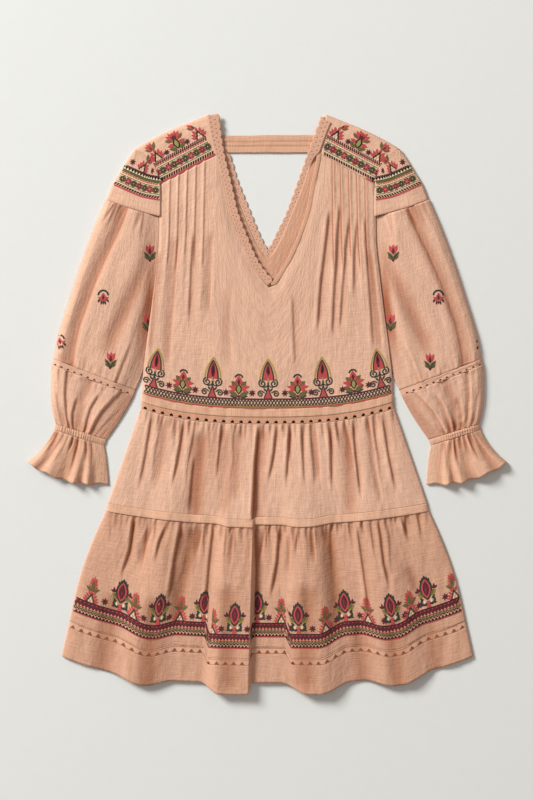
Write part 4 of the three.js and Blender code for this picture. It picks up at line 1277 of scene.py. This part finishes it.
reach = waistWork["reach"]
waistPatches = stitchRow("maroon", -reach, reach, 2.6, -2.1, 0.2, 0.8, 0.92)
wide, low = waistWork["latticeWide"], waistWork["latticeLow"]
for start in (k * wide for k in range(-38, 38)):
    for first, last in ((start, start + wide), (start + wide, start)):
        middle = (first + last) / 2
        waistPatches += stroke("charcoal", [(first, -2.0), (middle, (low - 2.0) / 2), (last, low)], 1.5)
waistPatches += stitchRows(-reach, reach, ("charcoal", 3.0, -12.2, -11.2, 0, 0.95),
                           ("mustard", 3.2, -13.1, -12.3, 0, 0.9),
                           ("coral", 3.0, -15.3, -13.5, 1.2, 0.92))
for at in (-178, -86.5, 0.8, 87, 177):
    waistPatches += moved(temple(), at)
for at in (-133, -45, 47, 135):
    waistPatches += moved(flower(), at)
for at in (-154, -113, -65, -24, 27, 68, 117, 158):
    waistPatches += moved(star(), at, 8.5)
sew("waist_embroidery", waistPatches, waistBand, [bodiceFront])

# Rows and plants above the hem lace
hemWork = {"top": 93.0, "reach": 306}


def hemBand(s, d):
    u = s / (skirt["hemHalf"] - skirt["hemFlare"] * hemWork["top"])
    return hemLine(u, hemWork["top"] + d)


reach = hemWork["reach"]
hemPatches = stitchRows(-reach, reach, ("maroon", 3.0, -5.2, 0.0, 1.4, 0.97),
                        ("maroon", 3.0, -11.2, -5.4, -1.4, 0.97),
                        ("black", 4.0, -0.9, 0.3, 0.8, 0.7, 1))
hemPatches += teethRow("salmon", -reach, reach, 5.2, -10.6, -7.2, 1)
hemPatches += stitchRow("coral", -reach, reach, 6.2, -3.6, -2.2, 1.5, 0.35, 1)
hemPatches += zigzagRow("olive", -reach, reach, 5.2, -14.6, -12.0, 1.9)
hemPatches += teethRow("black", -reach, reach, 5.2, -20.6, -16.6)
hemPatches += teethRow("black", -reach - 2.6, reach, 5.2, -15.0, -17.4)
hemPatches += stitchRows(-reach, reach, ("maroon", 2.6, -21.2, -20.2, 0.6, 0.95),
                         ("coral", 2.8, -22.6, -21.3, 0.9, 0.9))
for at in (-231, -171, -52, 48.5, 122, 194.5, 251.5):
    hemPatches += moved(budPlant(), at)
for at in (-276, -209, -137, 90.5, 157, 223.5, 292):
    hemPatches += moved(plumePlant(), at)
for motif, at, low, high in ((budPlant(), -100, -150, -94), (plumePlant(), -87, -88, 0),
                             (budPlant(), -16, -20.5, 40), (plumePlant(), 21.5, 0, 28.5)):
    hemPatches += tucked(moved(motif, at), low, high)
for at in (-254.5, -193.5, -154, -118, -72.5, -32, 2, 36, 70, 108.5, 144.5, 182, 214, 237, 278):
    hemPatches += moved(star(), at, 8)
sew("hem_embroidery", hemPatches, hemBand, [stripPieces["skirt_tier2"]])


# A triangle of painted shade over each opening of the hem lace, for the shadowed hollow beneath it, and a
# row of stitches along both its edges
def openworkBand(s, d):
    return hemLine(s / skirt["hemHalf"], skirt["hemBandDepth"] + d)


openwork = []
for k in range(hemRepeats):
    at = ((k + 0.5) / hemRepeats * 2 - 1) * skirt["hemHalf"]
    openwork.append(patch("painted_opening_shade", [(at - 3.8, 1.0), (at + 3.8, 1.0), (at + 0.4, 5.6), (at - 0.4, 5.6)]))
openwork += stitchRows(-reach, reach, ("clay", 3.4, 8.2, 9.0, 0.8, 0.7), ("clay", 3.4, 0.0, 0.7, 0.8, 0.7))
sew("hem_lace_opening_shade_and_edging", openwork, openworkBand, [stripPieces["hem_lace"]])


# Rows across the shoulder, from the seam up; the plants stand on them
borderWork = {"blockPitch": 9.8, "blockUp": 14.5}
blockThreads = (("coral", "maroon"), ("olive", "charcoal"), ("maroon", "coral"), ("olive", "charcoal"))


def borderRows(start, end):
    rows = stitchRows(start, end, ("coral", 2.8, 0.4, 2.6, 0.8, 0.92), ("black", 4.2, 3.0, 6.4, 2.2, 0.62),
                      ("cream", 4.0, 7.0, 8.2, 0, 0.97), ("olive", 4.0, 8.3, 9.2, 0, 0.97),
                      ("cream", 4.0, 9.3, 10.2, 0, 0.97))
    for k, middle in enumerate(rowMiddles(start, end, borderWork["blockPitch"])):
        thread, other = blockThreads[k % 4]
        centre = (middle, borderWork["blockUp"])
        rows += [leaf(thread, centre, lean, 6.2, 3.9) for lean in range(30, 360, 60)]
        rows += [leaf(other, centre, lean, 6.2, 1.9, 1) for lean in range(0, 360, 60)]
        rows += [leaf("salmon", (centre[0], centre[1] - 1), 0, 2.2, 2, 2)]
    rows += stitchRows(start, end, ("cream", 4.0, 18.8, 19.8, 0, 0.97),
                       ("olive", 4.0, 19.9, 20.8, 0, 0.97), ("cream", 4.0, 20.9, 21.9, 0, 0.97))
    rows += stitchRow("coral", start, end, 4.4, 22.8, 24.4, 1.0, 0.6)
    return rows


for mirror in (1, -1):
    side = sideName(mirror)

    def yokeBand(s, d):
        d = np.where(d < 29, d * 1.17, d + 4.9)   # the rows are worked wider than the plants
        along, up = (0.8856, 0.4645), (-0.4645, 0.8856)
        return mirror * (-168 + along[0] * s + up[0] * d), 341.3 + along[1] * s + up[1] * d

    long = 104 if mirror < 0 else 100
    shoulderPatches = borderRows(0.5, long)
    shoulderPatches += stitchRows(-14, long, ("maroon", 3.6, 25.4, 28.8, 1.8, 0.6),
                                  ("black", 3.6, 25.0, 26.0, 0, 0.8, 1))
    for motif, at in ((shoulderPlant(), 17), (shoulderFlower(), 53), (shoulderPlant(), 90)):
        shoulderPatches += moved(motif, at, 29)
    for at in (33, 69):
        shoulderPatches += moved(star(), at, 34, scale=0.9)
    sew(f"shoulder_embroidery_{side}", shoulderPatches, yokeBand, [frontSurfaces[f"yoke_{side}"]])

    capLine = curve([(-246, 343), (-242, 341), (-213, 327.6), (-191.7, 319.8), (-165, 315.2)])
    capLength = 86.0

    def capBand(s, d):
        d = d * 1.06
        share = np.clip(s / capLength, 0, 1)
        x, y, normalX, normalY = pathFrame(capLine, share, 0.03)
        past = s - share * capLength
        return mirror * (x + past * normalY + d * normalX), y - past * normalX + d * normalY

    capPatches = borderRows(1, 84)
    capPatches += stitchRows(-12, 84, ("olive", 3.0, 25.0, 28.4, 1.6, 0.95),
                             ("black", 3.0, 28.4, 34.0, 0, 0.98))
    capPatches += teethRow("cream", -12, 84, 5.2, 29.2, 33.0, 1)
    capPatches += stitchRow("maroon", -12, 84, 3.4, 34.2, 35.8, 1.0, 0.85)
    capPatches += moved(shoulderPlant(), 38, 36, 12, flip=-1, scale=0.9)
    for at, up in ((19, 43), (62, 42)):
        capPatches += moved(star(), at, up, scale=0.9)
    sew(f"sleeve_cap_embroidery_{side}", capPatches, capBand,
        [frontSurfaces[f"cap_{side}"], frontSurfaces[f"yoke_{side}"]])

    sprigs = ((tulipSprig, -183, 235, 0), (archSprig, -255, 164, 0), (archSprig, -321, 95, -10),
              (tulipSprig, -244, 68, 4), (tulipSprig, -186, 126, 0))
    if mirror < 0:
        sprigs = ((tulipSprig, -195, 235, 0), (archSprig, -265, 164, 0), (archSprig, -333, 91, 0),
                  (tulipSprig, -252, 66, 0), (tulipSprig, -191, 127, 0))
    sprigPatches = []
    for motif, x, y, turn in sprigs:
        sprigPatches += moved(motif(), x, y - 7, turn, scale=1.22)
    flatBand = lambda s, d: (mirror * s, d)
    sew(f"sleeve_sprigs_{side}", sprigPatches, flatBand, [frontSurfaces[f"sleeve_upper_{side}"]])

print("stage: floor, light and camera")

floorMesh = bpy.data.meshes.new("floor")
bm = bmesh.new()
backdrop = {"half": 2.0, "below": 0.0005}   # metres
bmesh.ops.create_grid(bm, x_segments=1, y_segments=1, size=backdrop["half"])
bmesh.ops.translate(bm, vec=(0, 0, -backdrop["below"]), verts=bm.verts)
bm.to_mesh(floorMesh)
bm.free()
floor = bpy.data.objects.new("floor", floorMesh)
bpy.context.scene.collection.objects.link(floor)
paper, tree = newMaterial("matt_backdrop_paper")
place = addNode(tree, "ShaderNodeTexCoord").outputs["Object"]
grain = addNode(tree, "ShaderNodeTexNoise", None, {"Vector": place, "Scale": 60.0}).outputs["Fac"]
tint = addNode(tree, "ShaderNodeMix", {"data_type": "RGBA"},
               {0: grain, 6: linear("#EBEAE7"), 7: linear("#EEEDEA")}).outputs[2]
shader = addNode(tree, "ShaderNodeBsdfPrincipled", None,
                 {"Base Color": tint, "Roughness": 0.9, "Specular IOR Level": 0.1})
addNode(tree, "ShaderNodeOutputMaterial", None, {"Surface": shader.outputs[0]})
floorMesh.materials.append(paper)

lighting = {
    "keyPlace": (-5.9, 4.6, 4.4), "keySize": 2.8, "keyPower": 915.0, "keyTint": (0.955, 0.99, 0.985),
    "fill": 0.34, "fillTint": (1.0, 0.94, 0.89),
}
keyData = bpy.data.lights.new("window_key", "AREA")
keyData.shape = "SQUARE"
keyData.size = lighting["keySize"]
keyData.energy = lighting["keyPower"]
keyData.color = lighting["keyTint"]
key = bpy.data.objects.new("window_key", keyData)
key.location = lighting["keyPlace"]
key.rotation_euler = (-Vector(lighting["keyPlace"])).to_track_quat("-Z", "Y").to_euler()
bpy.context.scene.collection.objects.link(key)
world = bpy.data.worlds.new("studio")
bpy.context.scene.world = world
world.use_nodes = True
background = world.node_tree.nodes["Background"]
background.inputs["Color"].default_value = (*lighting["fillTint"], 1)
background.inputs["Strength"].default_value = lighting["fill"]
bpy.context.scene.view_settings.view_transform = "Standard"

view = {"lens": 86.7, "place": (-0.0016, 0.0062, 3.0)}
cameraData = bpy.data.cameras.new("camera")
cameraData.lens = view["lens"]
cameraData.sensor_fit = "AUTO"
cameraData.sensor_width = 36
camera = bpy.data.objects.new("camera", cameraData)
camera.location = view["place"]
bpy.context.scene.collection.objects.link(camera)
bpy.context.scene.camera = camera
